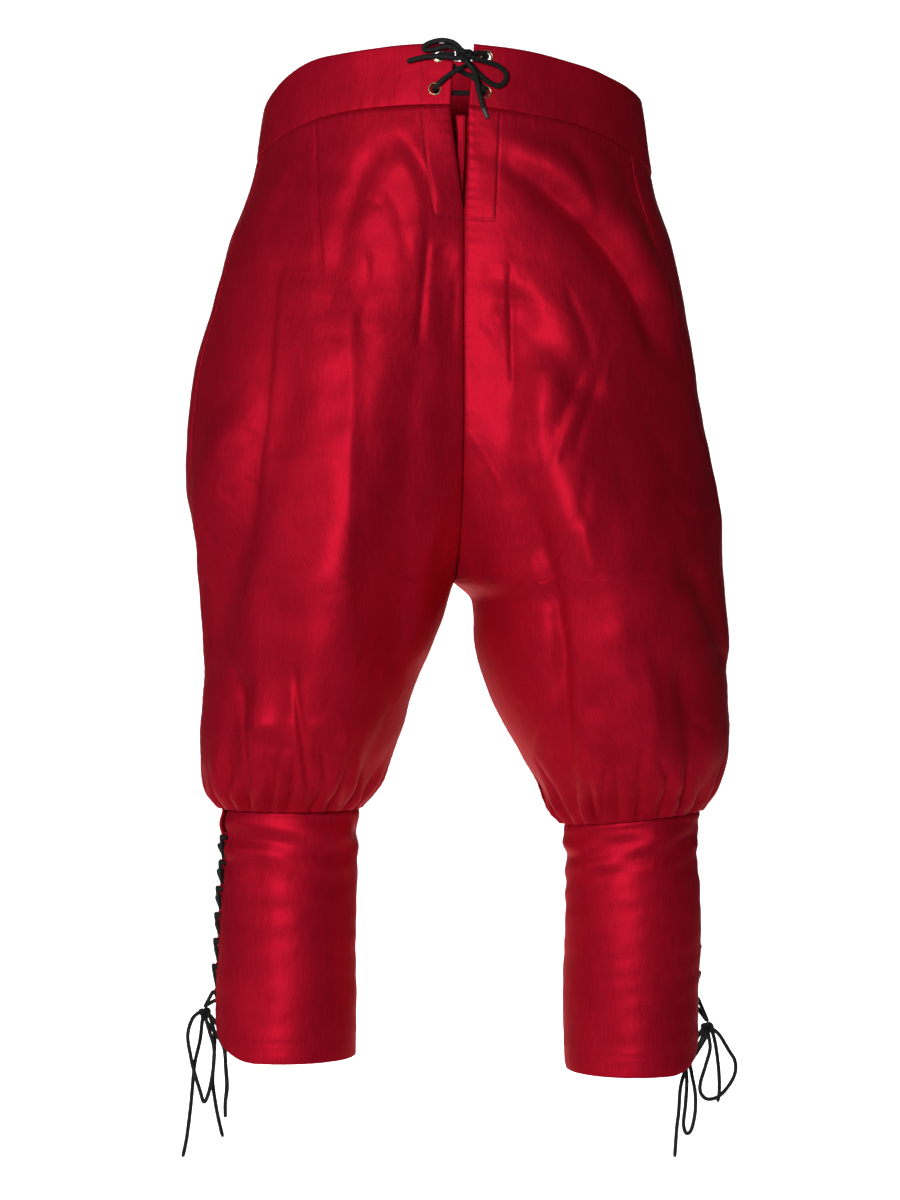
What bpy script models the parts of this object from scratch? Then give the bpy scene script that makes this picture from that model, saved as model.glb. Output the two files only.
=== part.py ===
"""Knee breeches of red sateen, in the hollow form that they have when worn.

X points to the wearer's left, -Y to the front and Z up. The origin is the middle of the waist,
level with the seam under the waistband at the centre front. All sizes are in metres.
"""
import math

import bmesh
import bpy
import numpy as np


def table(names, *rows):
    """A table's columns by name, from its rows."""
    return dict(zip(names.split(), np.array(rows, dtype=float).T))


# Cloth
SINGLE = 0.0016              # wall of a leg panel
DOUBLE = 0.0024              # wall of the waistband and of a cuff
SEAM = 0.0003                # gap between two pieces sewn together
WAIST_GAP = 0.0009           # the same where two curved edges meet under the waistband
CROTCH_Z = -0.385            # height of the crotch point
WAIST_HALF = 0.160           # about half the waist's width
FACET = 0.034                # half the width of the band's flat front, which holds the eyelets
LEG_RADIUS = 0.130           # about how far a side seam lies from its leg's middle
CALF_RADIUS = 0.060          # the same for a cuff

# Cords
WAIST_CORD = 0.0042
CUFF_CORD = 0.0030

SIGN = {"right": -1.0, "left": 1.0}

# The section of each leg, row by row down the breeches. past is how far the section would reach over
# the centre plane, as a share of outer: the same on both sides down to the crotch, negative below it.
FORM = table(
    "z      outer_right outer_left past_right past_left front  back   middle",
    (0.060, 0.1585, 0.1585, 1.000, 1.000, 0.1165, 0.1165, 0.000),
    (0.020, 0.1600, 0.1598, 0.930, 0.930, 0.1172, 0.1175, 0.000),
    (-0.010, 0.1635, 0.1635, 0.800, 0.800, 0.1192, 0.1210, 0.000),
    (-0.050, 0.1718, 0.1702, 0.640, 0.640, 0.1235, 0.1300, 0.001),
    (-0.100, 0.1912, 0.1862, 0.540, 0.540, 0.1285, 0.1420, 0.002),
    (-0.150, 0.2045, 0.1970, 0.520, 0.520, 0.1330, 0.1500, 0.002),
    (-0.200, 0.2185, 0.2050, 0.500, 0.500, 0.1360, 0.1530, 0.001),
    (-0.250, 0.2252, 0.2125, 0.430, 0.430, 0.1375, 0.1520, 0.000),
    (-0.290, 0.2268, 0.2212, 0.320, 0.320, 0.1375, 0.1500, -0.001),
    (-0.330, 0.2222, 0.2275, 0.185, 0.185, 0.1365, 0.1470, -0.002),
    (-0.360, 0.2162, 0.2282, 0.075, 0.075, 0.1350, 0.1430, -0.003),
    (-0.385, 0.2153, 0.2296, 0.000, 0.000, 0.1335, 0.1400, -0.003),
    (-0.397, 0.2153, 0.2306, -0.018, -0.058, 0.1318, 0.1380, -0.003),
    (-0.410, 0.2150, 0.2320, -0.035, -0.070, 0.1300, 0.1360, -0.003),
    (-0.435, 0.2138, 0.2345, -0.078, -0.075, 0.1265, 0.1310, -0.003),
    (-0.460, 0.2118, 0.2328, -0.130, -0.100, 0.1225, 0.1255, -0.002),
    (-0.485, 0.2135, 0.2335, -0.173, -0.140, 0.1190, 0.1200, -0.001),
    (-0.510, 0.2155, 0.2348, -0.203, -0.193, 0.1150, 0.1140, 0.000),
    (-0.535, 0.2148, 0.2318, -0.251, -0.258, 0.1070, 0.1060, 0.002),
    (-0.555, 0.2098, 0.2238, -0.301, -0.322, 0.0940, 0.0950, 0.004),
    (-0.575, 0.2000, 0.2150, -0.388, -0.385, 0.0690, 0.0750, 0.007),
    (-0.592, 0.1985, 0.2085, -0.415, -0.447, 0.0580, 0.0600, 0.008),
)

# The calf cuffs' outer face.
CUFF_FORM = table(
    "z      outer_right outer_left inner_right inner_left front  back   middle",
    (-0.575, 0.1990, 0.2125, 0.0795, 0.0940, 0.0590, 0.0605, 0.008),
    (-0.610, 0.1965, 0.2095, 0.0802, 0.0958, 0.0580, 0.0620, 0.008),
    (-0.650, 0.1985, 0.2118, 0.0820, 0.0963, 0.0585, 0.0650, 0.009),
    (-0.690, 0.1993, 0.2128, 0.0825, 0.0960, 0.0590, 0.0640, 0.009),
    (-0.740, 0.2015, 0.2106, 0.0820, 0.0948, 0.0595, 0.0605, 0.008),
    (-0.800, 0.2030, 0.2096, 0.0828, 0.0970, 0.0600, 0.0590, 0.008),
)

# Where the side seam runs, in degrees forward of the outer side.
SIDE_SEAM = table(
    "z      right left",
    (0.020, 12.0, 30.0),
    (-0.120, 14.0, 34.0),
    (-0.200, 14.0, 26.0),
    (-0.310, 12.0, 17.0),
    (-0.450, 8.0, 9.0),
    (-0.600, 6.0, 6.0),
)

# The waistband's edges, by the angle round the waist: 0 at the centre front, 90 at the wearer's left,
# 270 at the wearer's right.
BAND = table(
    "angle top    bottom",
    (0.0, 0.0528, 0.0018),
    (19.0, 0.0482, -0.0045),
    (40.0, 0.0392, -0.0140),
    (60.0, 0.0300, -0.0285),
    (81.0, 0.0236, -0.0390),
    (105.0, 0.0270, -0.0355),
    (140.0, 0.0580, 0.0060),
    (180.0, 0.0790, 0.0290),
    (225.0, 0.0560, 0.0050),
    (255.0, 0.0220, -0.0260),
    (273.0, 0.0170, -0.0278),
    (287.0, 0.0258, -0.0225),
    (298.0, 0.0358, -0.0155),
    (310.0, 0.0442, -0.0078),
    (325.0, 0.0478, -0.0018),
    (342.0, 0.0515, 0.0010),
    (360.0, 0.0528, 0.0018),
)
BAND_PROUD = 0.0008          # how far the band's outer face stands out from the panels'

# The open slit at the centre front: how far each edge lies from the centre plane.
SLIT = table(
    "z      right  left",
    (0.0550, 0.0070, 0.0086),
    (0.0270, 0.0090, 0.0062),
    (0.0010, 0.0105, 0.0038),
    (-0.0300, 0.0073, 0.0032),
    (-0.0585, 0.0033, 0.0018),
    (-0.0820, SEAM / 2, SEAM / 2),
)

# The cloth's largest folds. Angles are degrees from the outer side, negative to the front. A fold runs
# from its high end to its low end, bows sideways by some degrees in the middle, and is a ridge where
# its height is positive.
FOLDS = {
    "right": table(
        "high_angle high_z low_angle low_z bow width height",
        (-88, -0.130, -92, -0.520, 0, 0.034, 0.0075),
        (-103, -0.090, -118, -0.300, -3, 0.020, -0.0050),
        (-122, -0.120, -132, -0.330, 2, 0.018, -0.0045),
        (-62, -0.190, -22, -0.470, -6, 0.024, -0.0060),
        (-42, -0.230, -8, -0.400, 0, 0.026, 0.0045),
        (-72, -0.020, -70, -0.160, 2, 0.010, -0.0025),
        (-48, -0.450, -44, -0.568, 0, 0.016, -0.0070),
        (-75, -0.430, -70, -0.568, 0, 0.016, -0.0060),
        (28, -0.060, 62, -0.330, 5, 0.030, -0.0065),
        (70, -0.090, 100, -0.360, 0, 0.032, 0.0060),
        (112, -0.120, 128, -0.340, 0, 0.022, -0.0055),
        (40, -0.330, 70, -0.550, 4, 0.026, -0.0065),
        (104, -0.400, 96, -0.560, 0, 0.020, -0.0055),
    ),
    "left": table(
        "high_angle high_z low_angle low_z bow width height",
        (-84, -0.010, -30, -0.180, 6, 0.024, 0.0070),
        (-92, -0.030, -38, -0.220, 8, 0.016, -0.0080),
        (-96, -0.140, -72, -0.250, 0, 0.018, -0.0055),
        (-78, -0.190, -108, -0.320, 0, 0.018, 0.0045),
        (-118, -0.080, -122, -0.200, 0, 0.018, -0.0045),
        (-90, -0.260, -84, -0.540, 0, 0.036, 0.0065),
        (-50, -0.360, -14, -0.470, -4, 0.022, -0.0065),
        (-60, -0.440, -56, -0.578, 0, 0.016, -0.0060),
        (-102, -0.460, -98, -0.578, 0, 0.016, -0.0055),
        (24, -0.070, 60, -0.320, 4, 0.030, -0.0065),
        (68, -0.080, 96, -0.370, 0, 0.032, 0.0060),
        (110, -0.110, 130, -0.330, 0, 0.022, -0.0055),
        (36, -0.320, 74, -0.540, -4, 0.026, -0.0065),
        (106, -0.410, 100, -0.565, 0, 0.020, -0.0055),
    ),
}
QUIET_CENTRE = 0.022         # folds fade out this near to the centre plane
QUIET_TOP = 0.030            # and this near to the waistband
QUIET_CUFF = 0.020           # and this near to a cuff

# The gathers sewn into each cuff: ridges and hollows counted across one panel.
GATHERS = 10.5
GATHER_HEIGHT = 0.0034
GATHER_REACH = 0.052         # how far up a gather runs, on the average
GATHER_SEWN = 0.35           # share of its height left where it is sewn in

# The top edge of each cuff, and its hem.
CUFF_TOP = {"right": -0.5765, "left": -0.5855}
CUFF_TOP_TILT = {"right": 0.0005, "left": 0.0060}
CUFF_HEM = {"right": -0.7860, "left": -0.8005}
HEM_CORNER_RISE = 0.030      # the rounded corners beside the opening
HEM_CORNER_RUN = 0.065

# The cuffs' side opening: its edges in degrees from the outer side, at the cuff's top and hem.
OPENING = {
    "right": {"front": (-28.0, -1.0), "back": (12.0, 19.0)},
    "left": {"front": (12.0, 1.0), "back": (52.0, 21.0)},
}

# The lacing loops on the cuffs' edges, each a thin fabric tube.
LOOPS = 7
LOOP_FIRST = 0.0240          # from the cuff's top down to the first loop
LOOP_PITCH = 0.0222
LOOP_STAGGER = 0.0070        # how much lower the loops of the back edge sit
LOOP_THICK = 0.0024
LOOP_SEAT = 0.0005           # gap between an arm's end and the cuff's edge
LOOP_HALF = 0.0033           # half the distance between a loop's two arms
LOOP_LONG = 0.0100           # from the cuff's edge to the loop's tip
LOOP_ROOT = 0.0013           # straight part of an arm before the loop lifts
LOOP_LIFT = (6.0, 20.0)      # degrees that the top and the bottom loops stand out from the cuff

# The eyelets of the waistband.
EYELETS = table(
    "sign x      z",
    (-1, 0.0207, 0.0415),
    (-1, 0.0236, 0.0146),
    (1, 0.0187, 0.0415),
    (1, 0.0172, 0.0124),
)
EYELET_HOLE = 0.0047
EYELET_LIFT = 0.0004

# Colours, roughness and metallic value of each finish.
FINISHES = {
    "sateen": ((0.42, 0.012, 0.030), 0.42, 0.0),
    "cord": ((0.012, 0.012, 0.014), 0.70, 0.0),
    "brass": ((0.78, 0.62, 0.30), 0.28, 1.0),
}


def along(profile, name, z):
    """A named column at height z, on a smooth cubic curve through the table's rows."""
    order = np.argsort(profile["z"])
    heights = profile["z"][order]
    values = profile[name][order]
    slopes = np.gradient(values, heights)
    z = np.clip(z, heights[0], heights[-1])
    low = np.clip(np.searchsorted(heights, z) - 1, 0, len(heights) - 2)
    step = heights[low + 1] - heights[low]
    t = (z - heights[low]) / step
    rise = values[low + 1] - values[low]
    bend = slopes[low] * step * (1 - t) ** 2 * t - slopes[low + 1] * step * t ** 2 * (1 - t)
    return values[low] + rise * t * t * (3 - 2 * t) + bend


def smooth_step(value):
    """0 below 0, 1 above 1 and an even S between."""
    value = np.clip(value, 0.0, 1.0)
    return value * value * (3 - 2 * value)


def band_edge(name, angle):
    """Height of the waistband's top or bottom edge at an angle round the waist, in degrees."""
    angle = np.mod(angle, 360.0)
    ring = {"z": BAND["angle"], name: BAND[name]}
    return along(ring, name, angle)


def section(side, z):
    """Centre, half width, front depth, back depth and middle of one leg's section."""
    outer = along(FORM, "outer_" + side, z)
    inner = SEAM / 2 - along(FORM, "past_" + side, z) * outer
    front = along(FORM, "front", z)
    back = along(FORM, "back", z)
    middle = along(FORM, "middle", z)
    return (outer + inner) / 2, (outer - inner) / 2, front, back, middle


def slit_half(side, z):
    """Distance of a front panel's centre edge from the centre plane."""
    open_part = along(SLIT, side, np.maximum(z, SLIT["z"].min()))
    return np.where(z > SLIT["z"].min(), np.maximum(open_part, SEAM / 2), SEAM / 2)


def inner_angle(side, panel, z):
    """Angle of a panel's centre seam, or of its inseam below the crotch."""
    centre, half, front, back, _ = section(side, z)
    edge = slit_half(side, z) if panel == "front" else SEAM / 2
    reach = np.clip((centre - edge) / half, -1.0, 1.0)
    depth = front if panel == "front" else back
    most = math.pi - SEAM / 2 / depth
    angle = np.minimum(np.arccos(-reach), most)
    return -angle if panel == "front" else angle


def side_angle(side, panel, z):
    """Angle of the side seam, moved by half a seam gap into the panel."""
    seam = -np.radians(along(SIDE_SEAM, side, z))
    gap = SEAM / 2 / LEG_RADIUS
    return seam - gap if panel == "front" else seam + gap


def fold_height(side, angle, z):
    """Height of all the large folds at a place: a bell across each fold, fading at its ends."""
    total = np.zeros_like(z)
    degrees = np.degrees(angle)
    _, half, front, _, _ = section(side, z)
    radius = (half + front) / 2
    folds = FOLDS[side]
    for k in range(len(folds["width"])):
        t = (folds["high_z"][k] - z) / (folds["high_z"][k] - folds["low_z"][k])
        inside = np.clip(t, 0.0, 1.0)
        middle = folds["high_angle"][k] + (folds["low_angle"][k] - folds["high_angle"][k]) * inside
        middle = middle + folds["bow"][k] * 4 * inside * (1 - inside)
        away = np.radians(degrees - middle) * radius / folds["width"][k]
        fade = smooth_step(t / 0.25) * smooth_step((1 - t) / 0.25)
        total += folds["height"][k] * np.exp(-away * away) * fade
    return total


def gather_height(side, panel, share, drop):
    """Height of the gathers at a share of the panel's width and a drop above the cuff."""
    count = GATHERS * share
    phase = 1.3 * SIGN[side] + (0.9 if panel == "front" else 2.1)
    uneven = 1 + 0.30 * np.sin(1.7 * count + phase) * np.sin(math.pi * share)
    reach = GATHER_REACH * (1 + 0.35 * np.sin(2.3 * count - phase))
    climb = np.clip(drop / reach, 0.0, 1.0)
    swell = GATHER_SEWN + (1 - GATHER_SEWN) * smooth_step(climb / 0.25)
    fade = (1 - smooth_step(climb)) * swell
    return GATHER_HEIGHT * uneven * fade * np.cos(2 * math.pi * count)


def cuff_top(side, angle):
    """Height of a cuff's top edge."""
    return CUFF_TOP[side] + CUFF_TOP_TILT[side] * np.cos(angle)


def waist_angle(x, y, z):
    """Angle round the waist in degrees of a point of its surface, from the centre front."""
    depth = np.where(y < 0, along(FORM, "front", z), along(FORM, "back", z))
    return np.degrees(np.arctan2(x / along(FORM, "outer_left", z), -y / depth))


def leg_point(side, panel, share, down):
    """A point of a leg's outer face. share runs from the centre seam or inseam to the side seam, and
    down from the waistband (0) past the crotch's height (1) to the cuff (2)."""
    share, down = np.broadcast_arrays(np.asarray(share, float), np.asarray(down, float))
    z = np.full(share.shape, -0.1)
    for _ in range(5):
        angle = inner_angle(side, panel, z)
        angle = angle + (side_angle(side, panel, z) - angle) * share
        centre, half, front, back, middle = section(side, z)
        depth = np.where(angle < 0, front, back)
        x = SIGN[side] * (centre + half * np.cos(angle))
        y = middle + depth * np.sin(angle)
        top = band_edge("bottom", waist_angle(x, y, z)) - WAIST_GAP
        bottom = cuff_top(side, angle) + SEAM
        upper = top + (CROTCH_Z - top) * np.minimum(down, 1.0)
        z = upper + (bottom - CROTCH_Z) * np.maximum(down - 1.0, 0.0)
    height = fold_height(side, angle, z) * smooth_step(np.abs(x) / QUIET_CENTRE)
    height = height * smooth_step((top - z) / QUIET_TOP) * smooth_step((z - bottom) / QUIET_CUFF)
    height = height + gather_height(side, panel, share, z - bottom)
    out = np.stack([SIGN[side] * np.cos(angle) / half, np.sin(angle) / depth], axis=-1)
    out /= np.linalg.norm(out, axis=-1, keepdims=True)
    return np.stack([x + height * out[..., 0], y + height * out[..., 1], z], axis=-1)


def outward(across, along_down):
    """Unit normals of a row of points from its two directions, and the same normals laid level."""
    normal = np.cross(across, along_down)
    normal /= np.linalg.norm(normal, axis=-1, keepdims=True)
    flat = normal.copy()
    flat[..., 2] = 0.0
    flat /= np.linalg.norm(flat, axis=-1, keepdims=True)
    return normal, flat


def leg_rows(side, panel, shares, downs):
    """Outer and inner rows of a leg panel; each row has its own count of shares."""
    outer_rows = []
    inner_rows = []
    small = 1e-3
    for share, down in zip(shares, downs):
        here = leg_point(side, panel, share, down)
        across = leg_point(side, panel, share + small, down) - leg_point(side, panel, share - small, down)
        fall = leg_point(side, panel, share, down + small) - leg_point(side, panel, share, down - small)
        normal, flat = outward(across, fall)
        if down in (downs[0], downs[-1]):
            normal = flat
        facing = np.sign(np.sum(normal[:, :2] * (here[:, :2] - leg_axis(side, here)), axis=1))
        outer_rows.append(here)
        inner_rows.append(here - normal * facing[:, None] * SINGLE)
    return outer_rows, inner_rows


def leg_axis(side, points):
    """The middle of a leg's section at each point's height, which every outer face looks away from."""
    centre, _, _, _, middle = section(side, points[:, 2])
    return np.stack([SIGN[side] * centre, middle], axis=-1)


def strip(upper, lower):
    """Faces between two rows of point numbers. The lower row may have three steps to one above."""
    if len(upper) == len(lower):
        return list(zip(upper[:-1], lower[:-1], lower[1:], upper[1:]))
    faces = []
    for k in range(len(upper) - 1):
        a, b = upper[k:k + 2]
        p, q, r, s = lower[3 * k:3 * k + 4]
        faces += [(a, p, q), (a, q, r, b), (b, r, s)]
    return faces


def finish(name):
    """The material of that name, made once."""
    if name in bpy.data.materials:
        return bpy.data.materials[name]
    colour, roughness, metallic = FINISHES[name]
    material = bpy.data.materials.new(name)
    material.use_nodes = True
    shader = material.node_tree.nodes["Principled BSDF"]
    shader.inputs["Base Color"].default_value = (*colour, 1.0)
    shader.inputs["Roughness"].default_value = roughness
    shader.inputs["Metallic"].default_value = metallic
    return material


def own_finish(name, kind):
    """A copy of a finish for one piece."""
    material = finish(kind).copy()
    material.name = kind + "_" + name
    return material


def piece(name, points, faces, kind):
    """A closed solid as an object of its own, shaded smooth."""
    mesh = bpy.data.meshes.new(name)
    mesh.from_pydata([tuple(p) for p in points], [], [tuple(int(i) for i in f) for f in faces])
    work = bmesh.new()
    work.from_mesh(mesh)
    bmesh.ops.recalc_face_normals(work, faces=work.faces)
    work.to_mesh(mesh)
    work.free()
    mesh.shade_smooth()
    mesh.set_sharp_from_angle(angle=math.radians(50))
    obj = bpy.data.objects.new(name, mesh)
    obj.data.materials.append(own_finish(name, kind))
    bpy.context.scene.collection.objects.link(obj)
    return obj


def wall(name, outer_rows, inner_rows, kind="sateen"):
    """A cloth wall between its outer and inner rows of points, closed by a rim on all four edges."""
    counts = [len(row) for row in outer_rows]
    starts = np.concatenate([[0], np.cumsum(counts)])
    total = starts[-1]
    numbers = [np.arange(starts[k], starts[k + 1]) for k in range(len(counts))]
    faces = []
    for upper, lower in zip(numbers[:-1], numbers[1:]):
        outside = strip(list(upper), list(lower))
        faces += outside
        faces += [tuple(i + total for i in reversed(face)) for face in outside]
    left = [row[0] for row in numbers]
    right = [row[-1] for row in numbers]
    for edge in (left, right, list(numbers[0]), list(numbers[-1])):
        faces += [(a, b, b + total, a + total) for a, b in zip(edge[:-1], edge[1:])]
    return piece(name, np.concatenate(outer_rows + inner_rows), faces, kind)


def leg_panels():
    """Front and back panels of both legs, with finer rows where the gathers are."""
    coarse = np.linspace(0.0, 1.0, 15)
    fine = np.linspace(0.0, 1.0, 43)
    above = [0.0, 0.12, 0.24, 0.36, 0.48, 0.59, 0.69, 0.78, 0.86, 0.92, 0.965, 1.0]
    below = [1.12, 1.26, 1.42]
    gathered = [1.58, 1.70, 1.81, 1.90, 1.96, 2.0]
    downs = above + below + gathered
    shares = [coarse] * len(above + below) + [fine] * len(gathered)
    for side in SIGN:
        for panel in ("front", "back"):
            outer_rows, inner_rows = leg_rows(side, panel, shares, downs)
            wall(panel + "_" + side, outer_rows, inner_rows)


def waist_point(angle, z, out):
    """A point at a distance out from the waist's surface; angle in radians from the centre front."""
    half = along(FORM, "outer_left", z)
    depth = np.where(np.cos(angle) > 0, along(FORM, "front", z), along(FORM, "back", z))
    direction = np.stack([np.sin(angle) / half, -np.cos(angle) / depth], axis=-1)
    direction /= np.linalg.norm(direction, axis=-1, keepdims=True)
    x = half * np.sin(angle) + out * direction[..., 0]
    y = -depth * np.cos(angle) + out * direction[..., 1]
    return np.stack([x, y, z + 0 * x], axis=-1)


def waistband(side):
    """One half of the waistband, from the slit to the centre back, with its two eyelet holes."""
    steps = np.concatenate([[0.0], np.linspace(math.asin(FACET / WAIST_HALF), math.pi, 22)])
    rows = {"top": [], "bottom": []}
    for edge in rows:
        for out in (BAND_PROUD, BAND_PROUD - DOUBLE):
            angle = steps.copy()
            start_z = float(band_edge(edge, 0.0))
            angle[0] = math.asin(float(along(SLIT, side, np.array(start_z))) / WAIST_HALF)
            angle[-1] = math.pi - SEAM / 2 / WAIST_HALF
            angle = SIGN[side] * angle
            z = band_edge(edge, np.degrees(angle))
            rows[edge].append(waist_point(angle, z, out))
    outer_rows = [rows["top"][0], rows["bottom"][0]]
    inner_rows = [rows["top"][1], rows["bottom"][1]]
    band = wall("waistband_" + side, outer_rows, inner_rows)
    for k in range(len(EYELETS["sign"])):
        if EYELETS["sign"][k] == SIGN[side]:
            cut_hole(band, eyelet_frame(k), EYELET_HOLE)
    return band


def facet_frame(side):
    """Origin, right, up and outward directions of the flat front facet that holds the eyelets."""
    angle_far = SIGN[side] * math.asin(FACET / WAIST_HALF)
    top = float(band_edge("top", 0.0))
    bottom = float(band_edge("bottom", 0.0))
    slit = float(along(SLIT, side, np.array((top + bottom) / 2)))
    angle_near = SIGN[side] * math.asin(slit / WAIST_HALF)
    near_top, near_low, far_top, far_low = (
        waist_point(np.array(a), np.array(z), BAND_PROUD)
        for a in (angle_near, angle_far) for z in (top, bottom)
    )
    near = (near_top + near_low) / 2
    far = (far_top + far_low) / 2
    right = (far - near) * SIGN[side]
    right[2] = 0.0
    right /= np.linalg.norm(right)
    up = near_top - near_low + far_top - far_low
    up -= right * up.dot(right)
    up /= np.linalg.norm(up)
    return near, right, up, np.cross(right, up)


def eyelet_frame(k):
    """Centre on the band's outer face, right, up and outward directions of an eyelet."""
    side = "left" if EYELETS["sign"][k] > 0 else "right"
    near, right, up, out = facet_frame(side)
    x = EYELETS["sign"][k] * EYELETS["x"][k]
    z = EYELETS["z"][k]
    centre = near + right * (x - near[0]) / right[0]
    centre = centre + up * (z - centre[2]) / up[2]
    return centre, right, up, out


def ring_points(centre, right, up, out, profile, count):
    """Points of a turned ring: the profile's (radius, height) pairs carried round the outward axis."""
    turn = np.linspace(0.0, 2 * math.pi, count, endpoint=False)
    around = np.cos(turn)[:, None] * right + np.sin(turn)[:, None] * up
    rings = [centre + radius * around + height * out for radius, height in profile]
    return np.concatenate(rings)


def ring_faces(loops, count, closed):
    """Faces between successive loops of points; closed joins the last loop to the first."""
    faces = []
    for k in range(loops if closed else loops - 1):
        a = k * count
        b = ((k + 1) % loops) * count
        faces += [(a + i, a + (i + 1) % count, b + (i + 1) % count, b + i) for i in range(count)]
    return faces


def cut_hole(body, frame, radius):
    """Cuts a round hole straight through the wall of a body."""
    count = 16
    reach = 0.006
    points = ring_points(*frame, ((radius, reach), (radius, -reach)), count)
    faces = ring_faces(2, count, False)
    faces += [tuple(range(count)), tuple(reversed(range(count, 2 * count)))]
    cutter = piece("cutter_" + body.name, points, faces, "brass")
    cutter.hide_render = True
    cutter.display_type = "WIRE"
    hole = body.modifiers.new("eyelet_hole", "BOOLEAN")
    hole.operation = "DIFFERENCE"
    hole.solver = "EXACT"
    hole.object = cutter


def eyelets():
    """Brass eyelets: a barrel through the band with a rolled flange on each face."""
    low = -DOUBLE - EYELET_LIFT
    profile = (
        (0.0039, 0.0009), (0.0046, 0.0012), (0.0054, EYELET_LIFT), (0.0043, EYELET_LIFT),
        (0.0043, low), (0.0054, low), (0.0046, low - 0.0008), (0.0039, low - 0.0005),
    )
    for k, place in enumerate(("right_upper", "right_lower", "left_upper", "left_lower")):
        points = ring_points(*eyelet_frame(k), profile, 12)
        piece("eyelet_" + place, points, ring_faces(len(profile), 12, True), "brass")


def underlap():
    """The flat piece behind the slit, just inside the front panels, sagging back a little at its top."""
    x = np.array([-0.031, -0.018, -0.007, 0.003, 0.015, 0.028])
    outer_rows = []
    inner_rows = []
    for z in (-0.0045, -0.025, -0.045, -0.065, -0.0890):
        centre, half, front, _, middle = section("left", np.array(z))
        angle = np.arccos(np.clip((np.abs(x) - centre) / half, -1.0, 1.0))
        sag = 0.0035 * np.exp(-((x + 0.006) / 0.008) ** 2) * smooth_step((z + 0.08) / 0.06)
        for rows, inset in ((outer_rows, SINGLE + 0.0014), (inner_rows, SINGLE + 0.0026)):
            y = middle - front * np.sin(angle) + inset + sag
            rows.append(np.stack([x, y, np.full(len(x), z)], axis=-1))
    wall("slit_underlap", outer_rows, inner_rows)


def cuff_section(side, z):
    """Centre, half width, front depth, back depth and middle of a cuff's outer face."""
    outer = along(CUFF_FORM, "outer_" + side, z)
    inner = along(CUFF_FORM, "inner_" + side, z)
    return ((outer + inner) / 2, (outer - inner) / 2, along(CUFF_FORM, "front", z),
            along(CUFF_FORM, "back", z), along(CUFF_FORM, "middle", z))


def cuff_point(side, angle, z, out=0.0):
    """A point at a distance out from a cuff's outer face."""
    centre, half, front, back, middle = cuff_section(side, z)
    depth = np.where(np.sin(angle) < 0, front, back)
    away = np.stack([np.cos(angle) / half, np.sin(angle) / depth], axis=-1)
    away /= np.linalg.norm(away, axis=-1, keepdims=True)
    x = centre + half * np.cos(angle) + out * away[..., 0]
    y = middle + depth * np.sin(angle) + out * away[..., 1]
    return np.stack([SIGN[side] * x, y, z + 0 * x], axis=-1)


def opening_angle(side, edge, drop):
    """Angle of an edge of the cuff's opening, a share of the way down the cuff."""
    top, hem = OPENING[side][edge]
    return math.radians(top + (hem - top) * drop)


def cuff(side):
    """A calf cuff: a wall round the calf, open on the outer side, its hem's corners rounded."""
    columns = 24
    drops = (0.0, 0.25, 0.5, 0.75, 1.0)
    outer_rows = []
    inner_rows = []
    share = 0.5 - 0.5 * np.cos(np.linspace(0.10, 0.90, columns + 1) * math.pi)
    share = (share - share[0]) / (share[-1] - share[0])
    for drop in drops:
        start = opening_angle(side, "front", drop)
        end = opening_angle(side, "back", drop)
        around = 2 * math.pi - (end - start)
        angle = start - around * share
        top = cuff_top(side, angle) - SEAM / 2
        length = around * CALF_RADIUS
        rounded = hem_rise(length * share) + hem_rise(length * (1 - share))
        z = top + (CUFF_HEM[side] + rounded - top) * drop
        outer_rows.append(cuff_point(side, angle, z))
        inner_rows.append(cuff_point(side, angle, z, -DOUBLE))
    wall("cuff_" + side, outer_rows, inner_rows)


def hem_rise(distance):
    """How far the hem is cut up, at a distance round from the opening's edge."""
    return HEM_CORNER_RISE * np.clip(1 - distance / HEM_CORNER_RUN, 0.0, 1.0) ** 1.8


def edge_place(side, edge, height, out=0.0):
    """A point on an edge of the cuff's opening at a height, a distance out from the outer face."""
    low = CUFF_HEM[side] + HEM_CORNER_RISE
    angle = opening_angle(side, edge, 0.0)
    for _ in range(4):
        high = float(cuff_top(side, angle))
        angle = opening_angle(side, edge, (high - height) / (high - low))
    return cuff_point(side, np.array(angle), np.array(height), out)


def loop_place(side, edge, k):
    """Base on the cuff's edge, reach into the opening, down and outward directions of one loop."""
    z = CUFF_TOP[side] - LOOP_FIRST - LOOP_PITCH * k - (LOOP_STAGGER if edge == "back" else 0.0)
    outer_face = edge_place(side, edge, z)
    base = edge_place(side, edge, z, -DOUBLE / 2)
    down = edge_place(side, edge, z - 0.001) - edge_place(side, edge, z + 0.001)
    down /= np.linalg.norm(down)
    out = outer_face - base
    out /= np.linalg.norm(out)
    reach = np.cross(out, down)
    reach /= np.linalg.norm(reach)
    other = "back" if edge == "front" else "front"
    towards = cuff_point(side, np.array(opening_angle(side, other, 0.5)), np.array(z)) - outer_face
    reach *= np.sign(reach.dot(towards))
    above = np.cross(down, reach)
    return base, reach, down, above * np.sign(above.dot(out))


def loop_lift(k):
    """How steeply a loop stands out from the cuff, in radians."""
    return math.radians(LOOP_LIFT[0] + (LOOP_LIFT[1] - LOOP_LIFT[0]) * k / (LOOPS - 1))


def loop_axes(side, edge, k):
    """Base, lifted reach, down and lifted outward directions of a loop."""
    base, reach, down, out = loop_place(side, edge, k)
    lift = loop_lift(k)
    tilted = reach * math.cos(lift) + out * math.sin(lift)
    above = out * math.cos(lift) - reach * math.sin(lift)
    return base, reach, tilted, down, above


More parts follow.
